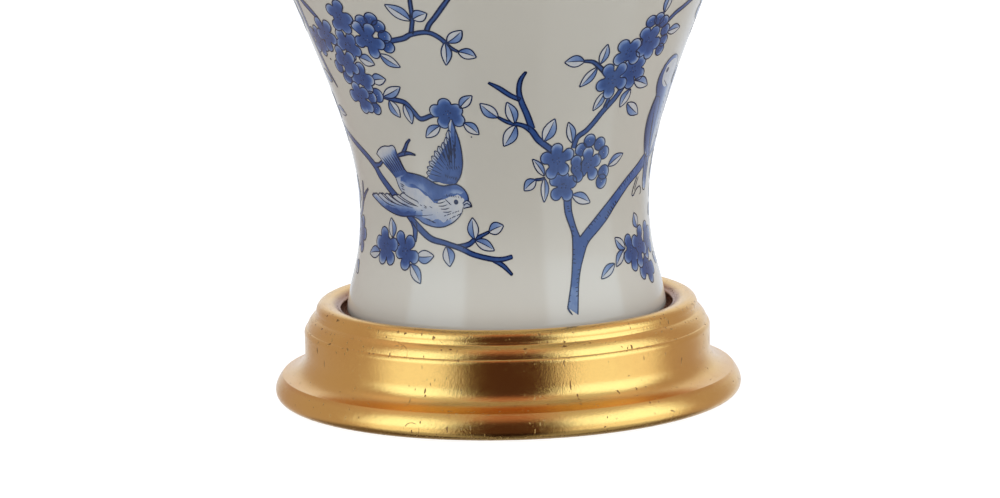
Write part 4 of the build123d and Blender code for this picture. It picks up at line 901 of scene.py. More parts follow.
def draw_flyer():
    raised = [(-29.6, 97.6), (-29.5, 99.8), (-28.9, 102), (-27.8, 104.3), (-26.4, 106.6), (-24.9, 108.8),
              (-23.2, 110.8), (-21.3, 112.4), (-19.8, 114.6), (-18.6, 117.6), (-17.2, 121.9)]
    feather_fan((-18.6, 97), raised, 4, 2.9, (0.05, 0.12, 1.0))
    covert = [(-29, 97.6), (-27.4, 100.6), (-25.4, 103.4), (-23.4, 106.6), (-21.4, 109.6), (-19.6, 112.4),
              (-17.6, 115), (-15.4, 108), (-15.6, 102), (-18, 96.2), (-23, 95.6)]
    wash([(a, z, 0.34 if k < 6 else 0.08) for k, (a, z) in enumerate(flow([*covert, covert[0]], 2))], 4.8)
    for k in range(9):
        tip = raised[k + 1]
        start = ((tip[0] - 18.6) / 2 + 0.4, (tip[1] + 97) / 2)
        stroke([tip, ((tip[0] + start[0]) / 2, (tip[1] + start[1]) / 2), start], 4.9, 0.36, (0.6, 0.3))
    front = flow([(-18.2, 95.6), (-16.2, 98.6), (-15, 103), (-14.8, 108), (-15.2, 113), (-16.2, 118),
                  (-17, 122)], 4)
    back = flow([(-17.6, 119), (-18.2, 113), (-18.6, 107), (-19.6, 101), (-21.6, 96.4)], 4)
    wash([(a, z, 0.12 if z < 115 else 0.45) for a, z in front] + [(a, z, 0.30) for a, z in back], 5)
    pen(front * FLAT, 5)
    for shift in (0.9, 1.9, 2.9):
        stroke([(-16.4 - 0.2 * shift, 116 - 2 * shift), (-16.6 - shift, 108), (-17.4 - shift * 0.8, 101.4)],
               5, 0.4)
    ticks((-22, 99.4), (-17.6, 98.4), 7, (0.5, -1.6), 5, 0.34)
    ticks((-21, 102.6), (-16.6, 103), 6, (0.4, -1.4), 5, 0.34)

    tail = [(-53.3, 105.3), (-52, 106.8), (-50.5, 107.9), (-49, 108.7), (-47.2, 109.2), (-45.3, 109.3),
            (-43.2, 109.8), (-42.2, 109), (-41.8, 107.2), (-41, 104.9), (-39.6, 101), (-38.4, 99.3)]
    under = [(-44.6, 96.4), (-46.6, 98.6), (-49.5, 101.3), (-50.8, 102.6), (-51.6, 103.9)]
    wash([(a, z, 0.97 if k < 8 else 0.15) for k, (a, z) in enumerate(tail)]
         + [(a, z, 0.10 if k < 3 else 0.9) for k, (a, z) in enumerate(under)], 3)
    stroke(tail, 3, 0.5, (1, 1))
    stroke([*under, (-53.3, 105.3)], 3, 0.5, (1, 1))
    for k in range(7):
        top, low = (-50.6 + 1.35 * k, 104.4 + 0.42 * k), (-45.6 + 1.0 * k, 98.6 + 0.25 * k)
        stroke([top, ((top[0] + low[0]) / 2, (top[1] + low[1]) / 2 + 0.2), low], 3, 0.6, (0.1, 0.6))

    crown = [(-38.4, 99.3), (-35, 98.9), (-32, 98.3), (-29.6, 97.3), (-27.4, 96), (-25.4, 95.1), (-23, 94.7),
             (-20.5, 95.2), (-18, 95.5), (-16, 94.5), (-14.5, 92.7), (-13.7, 90.6), (-13.6, 89)]
    throat = [(-15.7, 86.4), (-16.5, 84), (-18.5, 81.5), (-21, 79.6), (-24, 78.3), (-27, 78), (-30, 78.4),
              (-33, 79.3), (-35.4, 80.8), (-38, 81.6), (-41, 83), (-43, 87), (-42.2, 90.8), (-43.6, 93),
              (-44.6, 96.4)]
    body = [(a, z, 0.06 if k < 22 else 0.30) for k, (a, z) in enumerate(flow(crown, 3))]
    body += [(a, z, 0.95 if k < 9 else 0.42 if k < 26 else 0.8) for k, (a, z) in enumerate(flow(throat, 3))]
    wash(body, 5)
    mantle = [(-42, 97, 0.06), (-38, 99, 0.04), (-33, 98.2, 0.04), (-28, 96, 0.04), (-24, 94.4, 0.06),
              (-20.6, 94.8, 0.10), (-17.4, 94.6, 0.12), (-15, 92.6, 0.3), (-16.4, 91.6, 0.8),
              (-19, 91.8, 0.7), (-22, 91, 0.4), (-25, 90, 0.16), (-27, 88.6, 0.16), (-29.4, 90.4, 0.4),
              (-33, 93, 0.6), (-38, 94.6, 0.5), (-42.4, 95.4, 0.4)]
    wash(mantle, 5.3)
    breast = [(-41, 94.6, 0.85), (-34, 92.8, 0.92), (-30, 90, 0.95), (-27.6, 87.6, 0.98), (-25, 88.8, 0.98),
              (-21, 90.4, 0.95), (-17.6, 91.4, 0.98), (-15.2, 89.6, 1), (-15.9, 86.6, 1), (-17, 84, 0.98),
              (-19.6, 81.8, 0.9), (-24, 80, 0.8), (-29, 80.4, 0.75), (-33, 81.6, 0.8), (-37, 84, 0.95),
              (-41, 87, 0.95), (-42, 91, 0.95)]
    wash(breast, 5.3)
    stroke(crown, 5.6, 0.55, (1, 1))
    stroke([(-13.6, 89), *throat[:10]], 5.6, 0.5, (0.2, 1))
    stroke(throat[-3:], 5.6, 0.5, (0.3, 1))
    beak = [(-15.9, 87.9), (-14.3, 89.1), (-13, 88.3), (-12.4, 86.7), (-14.3, 86.3), (-15.6, 85.9)]
    wash([(a, z, 0.85) for a, z in beak], 6)
    for run in (beak[:4], beak[3:], [(-15.7, 87.2), (-14.2, 87.9), (-12.5, 86.8)]):
        stroke(run, 6, 0.5, (1, 1))
    dot(np.array((-18.5, 88.4)) * FLAT, 1.05, 6, 14)
    ticks((-22.2, 91.4), (-16.6, 90.6), 7, (0.5, -1.1), 6, 0.32)
    ticks((-23, 89.4), (-21.6, 88), 3, (1.4, -1.0), 6, 0.36)
    for k in range(5):
        stroke([(-27.6 + 0.9 * k, 88.8 - 1.15 * k), (-25.6 + 0.9 * k, 89.0 - 1.2 * k),
                (-23.6 + 0.8 * k, 89.9 - 1.3 * k)], 6, 0.42)
    ticks((-23.6, 82.6), (-18.2, 84.6), 6, (1.1, 0.5), 6, 0.36)
    ticks((-22.6, 80.9), (-17.6, 83.2), 6, (1.0, 0.9), 6, 0.34)
    ticks((-34, 86.6), (-30, 86.2), 3, (1.4, -0.7), 6, 0.34)
    ticks((-34, 84.2), (-32, 85.6), 2, (1.5, -0.1), 6, 0.34)
    ticks((-42.6, 94.6), (-42, 91.4), 4, (1.9, -0.8), 6, 0.42)
    ticks((-32, 81.2), (-29, 80), 3, (2.4, -0.4), 6, 0.36)

    lower = [(-62.2, 87.5), (-59, 85.9), (-55, 84), (-51, 82.6), (-46.5, 81.5), (-42.5, 81.2), (-38, 81.7),
             (-33, 82.2), (-28.4, 82.9)]
    upper = [(-33.4, 85.4), (-36.5, 87), (-39, 89.6), (-41.4, 90.6), (-43.6, 89.4), (-45.6, 89.4),
             (-48, 88.6), (-50.4, 89.4), (-52.6, 88.7), (-55, 89.1), (-57.4, 88.2), (-60, 88.4)]
    wash([(a, z, 0.12 if -54 < a < -34 else 0.4) for a, z in lower[:8]] + [(a, z, 0.97) for a, z in upper], 6)
    band = [(-56, 85.0, 0.3), (-51, 84.8, 0.1), (-46, 84.0, 0.08), (-40, 83.6, 0.08), (-36, 83.9, 0.2),
            (-36.6, 82.0, 0.2), (-42.5, 81.4, 0.1), (-46.5, 81.7, 0.1), (-51, 82.8, 0.15), (-54, 84.0, 0.3)]
    wash(band, 6.3)
    stroke(lower, 6.5, 0.55, (1, 0.2))
    for k in range(3, len(upper) - 1):
        a, z = upper[k]
        stroke([(a, z), (a + 2.6, z - 1.4), (a + 6.2, z - 2.8), (min(a + 10.5, -34.8), z - 3.9 + 0.05 * k)],
               6.5, 0.45, (1, 0.3))
    for a, b in zip(upper[3:], upper[4:]):
        stroke([a, ((a[0] + b[0]) / 2, (a[1] + b[1]) / 2 + 0.5), b], 6.5, 0.45, (1, 1))
    stroke([(-60, 88.4), (-61.2, 88.2), (-62.4, 87.5)], 6.5, 0.8, (1, 1))


# %% The bird on the branch
def draw_percher():
    back = [(70.5, 140.8), (67.6, 141), (64.6, 139.8), (62.2, 137.2), (61, 133.6), (61.1, 130), (62.4, 127),
            (63.2, 125.4), (62.2, 121.4), (61.5, 117), (61.9, 112), (63.6, 106.6), (66, 101.8)]
    breast = [(66, 101.8), (70, 99.6), (74.4, 102), (77.6, 107), (79.4, 114), (79.4, 121), (77.4, 127),
              (75.2, 130.6), (75.4, 134.6), (73.6, 138.8), (70.5, 140.8)]
    rim = [(a, z, 0.3 if z > 138 else 0.05) for a, z in flow(back, 3)]
    wash(rim + [(a, z, 0.95) for a, z in flow(breast, 3)], 4)
    cheek = [(64.4, 137.2), (63.8, 133), (65.4, 129.8), (69, 128), (73, 129.4), (74.4, 133.4), (72.8, 138),
             (68.4, 139.4), (64.4, 137.2)]
    wash([(a, z, 0.97) for a, z in flow(cheek, 3)[:-1]], 4.3)
    wing = [(63.6, 124.6), (62.6, 119), (62.8, 113), (64.6, 107), (68, 101.4), (71.6, 96), (72.4, 100),
            (71.6, 107), (70.6, 113), (69.4, 119), (67, 124), (63.6, 124.6)]
    wash([(a, z, 0.06 if a < 66 else 0.4) for a, z in flow(wing, 3)[:-1]], 4.5)
    tail = [(67, 101), (68.2, 94), (69.6, 87), (72.6, 86.6), (73, 93), (72.6, 100)]
    wash([(a, z, 0.1 if z > 92 else 0.7) for a, z in tail], 3.8)
    stroke(tail, 3.8, 0.5, (1, 1))
    stroke([(70, 99), (70.8, 93), (71.2, 88)], 3.8, 0.4)
    stroke(back, 4.6, 0.75, (0.5, 1))
    stroke(breast, 4.6, 0.5, (1, 0.6))
    stroke(wing, 4.6, 0.55, (0.6, 0.6))
    for k in range(4):
        stroke([(65 + k, 121 - 3 * k), (67 + 0.9 * k, 112 - 2 * k), (70 + 0.5 * k, 103 - k)], 4.6, 0.4)
    wash([(75.2, 135.6, 0.8), (78.4, 134.6, 0.8), (75.4, 132.8, 0.8)], 4.4)
    stroke([(75.2, 135.6), (78.4, 134.6), (75.4, 132.8)], 4.5, 0.5, (1, 1))
    dot(np.array((66, 135.2)) * FLAT, 1.1, 4.6, 14)
    ticks((66.4, 131), (70.4, 128.6), 5, (1.2, -1.2), 4.6, 0.36)
    ticks((73, 124), (75, 108), 8, (1.6, -0.9), 4.6, 0.36)
    stroke([(62.4, 92.6), (60.6, 89.4), (59.3, 86), (60.6, 85.3), (63, 87.6), (66, 88.2), (67.6, 86),
            (66.4, 85)], 4, 0.6, (1, 0.6))
    stroke([(63.8, 92.4), (62.4, 90), (61.2, 87)], 4, 0.5)


draw_stems()
draw_trunk()
for base_point, tip_point, width, dark in LEAVES:
    leaf(base_point, tip_point, width, dark)
for row in PETALS:
    petals(*row)
for row in BLOSSOMS:
    blossom(*row)
draw_flyer()
draw_percher()
dot(np.array((-64, 142.8)) * FLAT, 0.5, 2)
dot(np.array((-10.8, 114.8)) * FLAT, 0.3, 2)

# %% [markdown]
# The drawing covers half the urn, and its branches run off both edges at the same heights as
# their mirror image. So it is printed twice round the lower half, the second time mirrored,
# and above that four times, narrower and lower, and every branch finds its other half. The
# node tree shoots a ray from each point at the urn's axis, and sets the point where the ray
# meets the glaze, lifted by its layer. Where marks overlap, the upper one hides the lower,
# which is how a painter would have left the lower one out.

# %% Wrap the drawing round the urn
def wrap_group():
    inputs = [("Drawing", "Geometry", None), ("Urn", "Object", None), ("Reach", "Float", 0.2),
              ("Material", "Material", None)]
    tree, given = new_group("wrap_round_urn", inputs)
    target = tree.add("GeometryNodeObjectInfo", {}, {"Object": given["Urn"]}, out="Geometry")
    angle, height, lift = split(tree, tree.add("GeometryNodeInputPosition"))
    turn = angle * math.radians(1)
    right, back = turn.math("SINE"), turn.math("COSINE")
    start = vector(tree, right * given["Reach"], back * given["Reach"] * -1.0, height * MM)
    aim = vector(tree, right * -1.0, back)
    hit = tree.add("GeometryNodeRaycast", {}, {"Target Geometry": target, "Source Position": start,
                                               "Ray Direction": aim, "Ray Length": given["Reach"]},
                   out="Hit Position")
    normal = Socket(tree, hit.output.node.outputs["Hit Normal"])
    raised = tree.add("ShaderNodeVectorMath", {"operation": "SCALE"}, {0: normal, "Scale": lift * MM})
    place = tree.add("ShaderNodeVectorMath", {"operation": "ADD"}, {0: hit, 1: raised})
    wrapped = tree.add("GeometryNodeSetPosition", {}, {"Geometry": given["Drawing"], "Position": place})
    return end_group(tree, wrapped, given["Material"])


WRAP = wrap_group()
UPPER_TURN, UPPER_RISE, UPPER_TALL = 40, 137, 0.84
LOWER_PRINTS = [(180 * k, 0, (-1) ** k, 1) for k in range(2)]
UPPER_PRINTS = [(UPPER_TURN + 90 * k, UPPER_RISE, 0.5 * (-1) ** k, UPPER_TALL) for k in range(4)]


def print_marks(kind, prints):
    """Copies of flat marks: turned, raised, narrowed and lowered, a negative share being a mirror."""
    points, faces, tones = (np.concatenate(store) for store in kind)
    copies, all_faces = [], []
    for k, (turn, rise, narrow, tall) in enumerate(prints):
        copies.append(points * (narrow, tall, 1) + (turn, rise, 0))
        all_faces.append((faces if narrow > 0 else faces[:, ::-1]) + k * len(points))
    return np.vstack(copies), np.vstack(all_faces), np.tile(tones, len(prints))


def paint(name, kind, prints, material):
    """Prints marks as one piece that lies on the urn's glaze."""
    points, faces, tones = print_marks(kind, prints)
    flat = bpy.data.meshes.new(name)
    flat.from_pydata(points.tolist(), [], faces.tolist())
    flat.attributes.new("tone", "FLOAT", "POINT").data.foreach_set("value", tones)
    sheet = link(bpy.data.objects.new(name + "_flat", flat))
    mesh = run_group(sheet, WRAP, {"Urn": urn, "Material": material})
    bpy.data.objects.remove(sheet)
    shade_smooth(mesh, 60.0)
    piece = settle(name, mesh, "lamp")
    print(f"{name}: {len(mesh.polygons)} faces")
    return piece


# %% Cobalt washes and navy lines
def wash_pattern(tree):
    tone = tree.add("ShaderNodeAttribute", {"attribute_name": "tone"}, out="Fac")
    spot = place_on_piece(tree)
    cloud = noise(tree, spot, 260.0, 3.0, 0.6)
    streak = noise(tree, place_on_piece(tree, (1.0, 1.0, 0.35)), 900.0, 2.0, 0.6)
    uneven = tone + (cloud - 0.5) * 0.26 + (streak - 0.5) * 0.16
    colour = tree.add("ShaderNodeValToRGB", {"stops": [
        (0.0, (0.020, 0.052, 0.180)), (0.30, (0.045, 0.100, 0.290)), (0.62, (0.17, 0.25, 0.44)),
        (1.0, (0.475, 0.485, 0.50))]}, {"Fac": uneven})
    return {"Base Color": colour}


def ink_pattern(tree):
    pool = smooth_step(noise(tree, place_on_piece(tree), 500.0, 2.0), 0.35, 0.65)
    return {"Base Color": mix(pool, (0.0065, 0.012, 0.040), (0.014, 0.026, 0.085))}


GLAZE_SHINE = {"Roughness": 0.09, "IOR": 1.5}
cobalt_wash = make_material("cobalt_wash", GLAZE_SHINE, wash_pattern)
navy_ink = make_material("navy_ink", GLAZE_SHINE, ink_pattern)
paint("lower_washes", WASHES, LOWER_PRINTS, cobalt_wash)
paint("lower_lines", LINES, LOWER_PRINTS, navy_ink)
paint("upper_washes", WASHES, UPPER_PRINTS, cobalt_wash)
paint("upper_lines", LINES, UPPER_PRINTS, navy_ink)

# %% [markdown]
# ## The gilded base
# The base is turned wood under gold leaf: a roll at the foot, a hollow, an upright band, a
# shallow bead, an ovolo and a rounded rim that dips inward to the urn.

# %% Turn the base
def full_curve(start, end, crown, steps):
    """An arc that stands proud of the straight run between two points by its crown."""
    run, rise = end[0] - start[0], end[1] - start[1]
    reach = crown / math.hypot(run, rise)
    middle = ((start[0] + end[0]) / 2 + reach * rise, (start[1] + end[1]) / 2 - reach * run)
    return arc(start, middle, end, steps)


def base_outline():
    """The base's section from its foot up the outside, over the rim and back underneath."""
    foot_rim, nose, crease = (88.4, 0.5), (95.0, 5.0), (92.0, 11.3)
    band = line((82.6, 20.0), (82.6, 27.8), 4)
    roll = join(bezier(foot_rim, (92.6, 0.5), (94.9, 2.2), nose, 16),
                bezier(nose, (95.05, 6.6), (94.2, 9.0), crease, 14))
    cove = bezier(crease, (88.0, 12.0), (83.0, 13.8), band[0], 22)
    edge_bead = full_curve(band[-1], (81.8, 30.3), 0.30, 10)
    ovolo = full_curve((81.55, 30.4), (78.3, 35.2), 0.55, 14)
    rim_side = full_curve((78.1, 35.4), (77.6, 36.6), 0.05, 4)
    rim = join(arc((77.6, 36.6), (76.75, 39.3), (74.4, 40.6), 14),
               arc((74.4, 40.6), (71.52, 40.2), (68.4, 38.4), 12),
               arc((68.4, 38.4), (67.693, 38.107), (67.4, 37.4), 5))
    under = [(67.4, 32.9), (5.2, 32.9), (5.2, 21.9), (22, 21.9), (22, 2.0), (83.0, 2.0),
             (83.0, foot_rim[1]), foot_rim]
    return join(roll, cove, band, edge_bead, ovolo, rim_side, rim, under)


# %% [markdown]
# Gold leaf is a metal skin so thin that the ground under it shows: a red clay in the hollows
# and where a leaf has split, dark wax in the scratches. The red of the crease and the dark
# red of the recess round the urn are also painted shade. So the finish is metal almost
# everywhere, with dull dark specks, short nicks, curved scratches and a fine uneven grain
# that breaks up reflections. Each of these is one mask, and the masks meet in one colour.

# %% Gold leaf
def strokes(tree, turn, scale, low):
    """Short fine strokes that lie one way, as scratches do."""
    spun = tree.add("ShaderNodeMapping", {}, {"Vector": tree.add("ShaderNodeTexCoord", out="Object"),
                                              "Rotation": turn, "Scale": (1.0, 1.0, 0.25)})
    return smooth_step(noise(tree, spun, scale, 1.0), low, low + 0.03)


def hairlines(tree, spot, scale, width, where):
    """Curved scratches: thin contour lines of a smooth noise, kept only here and there."""
    level = noise(tree, spot, scale, 1.0, 0.4)
    return (1 - smooth_step((level - 0.5).math("ABSOLUTE"), width, width * 2.2)) * where


# Low, high and softness in metres for each worn edge, then turn, scale and rarity of nicks.
WORN_EDGES = [(0.0299, 0.0306, 0.0003), (0.0338, 0.0344, 0.0003), (0.0008, 0.0030, 0.0006),
              (0.0385, 0.0395, 0.0004)]
NICKS = [((0.6, 0.2, 0.0), 620.0, 0.745), ((-0.8, 0.9, 0.4), 560.0, 0.75), ((1.4, 0.3, 1.2), 600.0, 0.75)]


def leaf_pattern(tree):
    """Gold over red clay, with specks, nicks, scratches and a dark red recess round the urn painted as shade.
    """
    spot = place_on_piece(tree)
    height = split(tree, spot)[2]
    cloud = noise(tree, spot, 22.0, 4.0, 0.6)
    grain = noise(tree, spot, 980.0, 3.0, 0.70)
    fine = noise(tree, spot, 2600.0, 2.0, 0.6)
    worn = smooth_step(noise(tree, spot, 60.0, 4.0, 0.6), 0.50, 0.68)
    edges = sum((between(height, *edge) for edge in WORN_EDGES), start=0.0)
    spots = noise(tree, spot, 520.0, 2.0, 0.5) + edges * 0.09
    specks = smooth_step(spots, 0.69, 0.73) * (worn * 0.8 + edges * 0.5)
    first, second, third = (strokes(tree, *way) for way in NICKS)
    nicks = first.math("MAXIMUM", second).math("MAXIMUM", third)
    few = smooth_step(noise(tree, spot, 95.0, 2.0), 0.60, 0.68)
    hairs = hairlines(tree, spot, 46.0, 0.0018, few)
    flat_spot = tree.add("ShaderNodeVectorMath", {"operation": "MULTIPLY"}, {0: spot, 1: (1.0, 1.0, 0.0)})
    radius = tree.add("ShaderNodeVectorMath", {"operation": "LENGTH"}, {0: flat_spot}, out="Value")
    # Painted shade: the recess round the urn's foot, below 45 mm, is darkened to red-brown over the red clay
    # there.
    inner = (1 - smooth_step(radius, 0.0685, 0.0722)) * (height < 0.045)
    past_crease = smooth_step(height, 0.0115, 0.0140)
    # Red clay in the crease between the roll and the hollow, darkened there as painted shade too.
    crease = smooth_step(height, 0.0095, 0.0110) * (1 - past_crease) * (height > 0.005)
    dark = specks.math("MAXIMUM", nicks * 0.9).math("MAXIMUM", hairs * 0.6)
    # The red holds the crease's clay and painted shade, and random clouds of clay.
    red = (crease * 0.22 + smooth_step(cloud, 0.48, 0.72) * 0.20).math("MINIMUM", 1.0)
    gold = mix(red, (0.88, 0.550, 0.175), (0.66, 0.25, 0.070))
    # The painted shade of the recess goes on here, in dark red-brown.
    gold = mix(inner * 0.85, gold, (0.20, 0.045, 0.012))
    gold = mix(smooth_step(fine, 0.55, 0.80) * 0.35, gold, (0.50, 0.24, 0.065))
    colour = mix(dark * 0.85, gold, (0.085, 0.024, 0.009))
    rough = 0.12 + grain * 0.10 + worn * 0.05 + dark * 0.25
    relief = grain * 0.55 + fine * 0.45 - dark * 0.4 - hairs * 0.8
    return {"Base Color": colour, "Metallic": 1 - dark * 0.8, "Roughness": rough,
            "Normal": bump(tree, relief, 0.00011, 1.0)}


leaf_gold = make_material("gold_leaf", {"Specular IOR Level": 0.08}, leaf_pattern)
base = turn_piece("base", base_outline(), "lamp", leaf_gold, ["turned_base"], around=360)

# %% [markdown]
# ## The cord's way in
# The cord enters through a bush at the back of the base, near the floor. A lathe can't make
# that hole, so it is cut afterwards with a Boolean modifier, as a drill would cut it. The
# bush is turned like the rest, then laid over to point backwards.

# %% Cut holes in a turned piece
def drill(piece, radius, start, end):
    """Cuts a round hole from start to end, in millimetres, through a piece."""
    run = Vector(end) - Vector(start)
    bit = turned_mesh("bit", [(0, 0), (radius, 0), (radius, run.length), (0, run.length)],
                      piece.data.materials[0], 48)
    bit.transform(Matrix.Translation(Vector(start) * MM) @ run.to_track_quat("Z", "Y").to_matrix().to_4x4())
    tool = link(bpy.data.objects.new("bit", bit))
    cut = piece.modifiers.new("drill", "BOOLEAN")
    cut.operation, cut.solver, cut.object = "DIFFERENCE", "EXACT", tool
    mesh = bpy.data.meshes.new_from_object(piece.evaluated_get(bpy.context.evaluated_depsgraph_get()))
    piece.modifiers.remove(cut)
    old, piece.data = piece.data, mesh
    bpy.data.meshes.remove(old)
    bpy.data.objects.remove(tool)
    mesh.name = piece.name
    shade_smooth(mesh)


INLET_HEIGHT, BUSH_SEAT = 8.4, 91.6
for bore, start in ((4.55, 17.6), (5.55, BUSH_SEAT)):
    drill(base, bore, (0, start, INLET_HEIGHT), (0, 100.4, INLET_HEIGHT))
print("base, drilled:", len(base.data.polygons), "faces")

# %% Moulded black and rubber
def mould_pattern(tree):
    spot = place_on_piece(tree)
    cloud = noise(tree, spot, 180.0, 3.0, 0.6)
    pits = noise(tree, spot, 2400.0, 2.0, 0.6)
    return {"Base Color": mix(cloud, (0.011, 0.010, 0.010), (0.030, 0.027, 0.025)),
            "Roughness": 0.30 + cloud * 0.22, "Normal": bump(tree, pits, 0.00004, 0.5)}


def rubber_pattern(tree):
    spot = place_on_piece(tree)
    bloom = smooth_step(noise(tree, spot, 140.0, 4.0, 0.7), 0.4, 0.75)
    return {"Base Color": mix(bloom, (0.016, 0.016, 0.017), (0.060, 0.058, 0.055)),
            "Roughness": 0.68 + bloom * 0.2,
            "Normal": bump(tree, noise(tree, spot, 1600.0, 3.0), 0.00005, 0.6)}


moulding = make_material("black_moulding", {"IOR": 1.55}, mould_pattern)
rubber = make_material("gasket_rubber", {"Specular IOR Level": 0.35}, rubber_pattern)

BACKWARD = (Matrix.Translation((0, BUSH_SEAT * MM, INLET_HEIGHT * MM))
            @ Matrix.Rotation(math.radians(-90), 4, "X"))
bush = join([(3.2, -12), (4.1, -12), (4.4, -11.7), (4.4, 0), (5.4, 0)],
            arc((5.4, 0.95), (5.21, 1.41), (4.75, 1.6), 8), [(3.6, 1.6)],
            arc((3.6, 1.6), (3.32, 1.48), (3.2, 1.2), 5), [(3.2, -12)])
turn_piece("cord_bush", bush, "lamp", moulding, ["cord_bushing"], 64, place=BACKWARD)

# %% [markdown]
# ## The cap
# The cap closes the urn's mouth and hides the joint. It is turned and gilded like the base:
# a roll that overhangs the lip, a step, and a hollow that climbs to a small collar. The
# spigot under it drops into the mouth and keeps the cap central.

# %% Turn the cap
cap_cove = arc((38, 339.4), (19.28, 344.38), (14, 356), 26)
cap_outline = join(
    arc((46.4, 331), (50, 334.6), (46.4, 338.2), 22), [(39.5, 338.2), (38, 339.4)], cap_cove,
    arc((14, 356), (15.5, 358.5), (14, 361), 12),
    [(5.2, 361), (5.2, 331), (28.9, 331), (28.9, 318), (34.9, 318), (34.9, 331), (46.4, 331)])
turn_piece("cap", cap_outline, "lamp", leaf_gold, ["vase_cap"], around=192)

# %% [markdown]
# ## Brass
# The neck, the harp, the socket and the shade's frame are brass, polished and lacquered.
# Turned brass keeps very fine rings from the tool, and lacquer dulls in patches where it is
# handled. Both are slight, because too much of either makes metal look like painted plastic.

# %% Brass, steel and the white metal of a bulb's base
def metal_pattern(bright, dull, shine, rings=1500.0, ring_depth=0.000012):
    """Polished metal of two near colours, with tool rings along the axis and dull patches."""
    def pattern(tree):
        spot = place_on_piece(tree)
        height = split(tree, spot)[2]
        touch = smooth_step(noise(tree, spot, 45.0, 4.0, 0.6), 0.42, 0.72)
        tool = noise(tree, vector(tree, z=height), rings, 2.0, 0.7)
        fleck = noise(tree, spot, 900.0, 3.0, 0.6)
        spots = smooth_step(noise(tree, spot, 380.0, 2.0), 0.72, 0.78)
        colour = mix(spots * 0.6, mix(touch * 0.7, bright, dull), tuple(0.35 * c for c in dull))
        return {"Base Color": colour, "Roughness": shine + touch * 0.12 + fleck * 0.06 + spots * 0.2,
                "Normal": bump(tree, tool * 0.7 + fleck * 0.3, ring_depth, 0.7)}
    return pattern


brass = make_material("polished_brass", {"Metallic": 1.0},
                      metal_pattern((0.86, 0.60, 0.24), (0.70, 0.44, 0.15), 0.13))
steel = make_material("zinc_steel", {"Metallic": 1.0},
                      metal_pattern((0.62, 0.63, 0.64), (0.44, 0.45, 0.47), 0.26))
print("metals:", brass.name, steel.name)

# %% Turn the neck
seat_ring = join(arc((12.5, 361), (14, 362.5), (12.5, 364), 14), [(5.1, 364), (5.1, 361), (12.5, 361)])
turn_piece("neck_seat", seat_ring, "lamp", brass, ["seat_ring"], 96)


def scored(radius, low, high, marks, depth=0.3, half=0.45):
    """The side of a tube with softened ends and a shallow groove at each mark."""
    runs = [[(radius - 0.4, low), (radius, low + 0.4)]]
    runs += [arc((radius, mark - half), (radius - depth, mark), (radius, mark + half), 6) for mark in marks]
    return join(*runs, [(radius, high - 0.4), (radius - 0.4, high)])


neck = join(scored(8.0, 364, 398, (366.2, 368.0, 394.0, 395.8)), [(5.4, 398), (5.4, 364), (7.6, 364)])
turn_piece("neck", neck, "lamp", brass, ["neck_tube"], 96)
check_ring = join(arc((11.5, 398), (13, 399.5), (11.5, 401), 14), [(5.1, 401), (5.1, 398), (11.5, 398)])
turn_piece("neck_check", check_ring, "lamp", brass, ["check_ring"], 96)

# %% [markdown]
# ## The harp
# The harp is one wire bent to shape, and it carries the shade. A path bent at its corners and
# a round section swept along it make the wire, which is what Curve to Mesh does in a node
# tree. The same tree makes the arms and rings of the shade's frame. The saddle under it is a
# flat strap, so its section is a rectangle with soft corners, set out point by point.

# %% Bend a wire, as a node tree
def bent(points, radii, steps=9):
    """A line through points of one plane, bent round at its inner points."""
    line_points = [points[0]]
    for before, corner, after, radius in zip(points, points[1:], points[2:], radii):
        at = Vector(corner)
        back, on = (Vector(before) - at).normalized(), (Vector(after) - at).normalized()
        half = math.acos(back.dot(on)) / 2
        reach = radius / math.tan(half)
        centre = at + (back + on).normalized() * radius / math.sin(half)
        middle = centre + (at - centre).normalized() * radius
        line_points += arc(at + back * reach, middle, at + on * reach, steps)
    return line_points + [points[-1]]


def wire_group():
    inputs = [("Path", "Geometry", None), ("Radius", "Float", 0.002), ("Sides", "Int", 20),
              ("Material", "Material", None)]
    tree, given = new_group("bent_wire", inputs)
    section = tree.add("GeometryNodeCurvePrimitiveCircle", {},
                       {"Resolution": given["Sides"], "Radius": given["Radius"]})
    bar = tree.add("GeometryNodeCurveToMesh", {},
                   {"Curve": given["Path"], "Profile Curve": section, "Fill Caps": True})
    return end_group(tree, bar, given["Material"])


WIRE = wire_group()


def wire_mesh(path, radius, material, closed=False, sides=20):
    """A round wire along points given in millimetres."""
    run = link(bpy.data.objects.new("path", poly_curve("path", path, closed)))
    mesh = run_group(run, WIRE, {"Radius": radius * MM, "Sides": sides, "Material": material})
    bpy.data.objects.remove(run)
    return mesh


def weld(name, meshes, body, replaces=(), sharp=35.0):
    """Several meshes as one piece."""
    whole = bmesh.new()
    for mesh in meshes:
        whole.from_mesh(mesh)
    joined = bpy.data.meshes.new(name)
    whole.to_mesh(joined)
    whole.free()
    joined.materials.append(meshes[0].materials[0])
    shade_smooth(joined, sharp)
    print(f"{name}: {len(joined.polygons)} faces from {len(meshes)} parts")
    return settle(name, joined, body, replaces)


# %% Bend the harp and press its saddle
LEG, HARP_HALF = 25.0, 57.0
half_harp = bent([(LEG, 426.3), (LEG, 457), (HARP_HALF, 509), (HARP_HALF, 575), (28, 643.9), (4.5, 643.9)],
                 (34, 60, 62, 18), 14)
boss = [(2.66, 641.8), (7.0, 641.8), (7.5, 642.3), (7.5, 645.5), (7.0, 646.0), (2.66, 646.0), (2.66, 641.8)]
harp_parts = [wire_mesh([(side * x, 0, z) for x, z in half_harp], 2.1, brass) for side in (-1, 1)]
weld("harp", [*harp_parts, turned_mesh("boss", boss, brass, 64)], "lamp", ["harp_wire"])


def closed_mesh(name, rows, material):
    """A closed skin over rings of points, its two ends filled and its faces turned outward."""
    mesh = grid_mesh(name, rows, closed_across=True)
    work = bmesh.new()
    work.from_mesh(mesh)
    bmesh.ops.holes_fill(work, edges=work.edges)
    bmesh.ops.recalc_face_normals(work, faces=work.faces)
    work.to_mesh(mesh)
    work.free()
    mesh.materials.append(material)
    return mesh


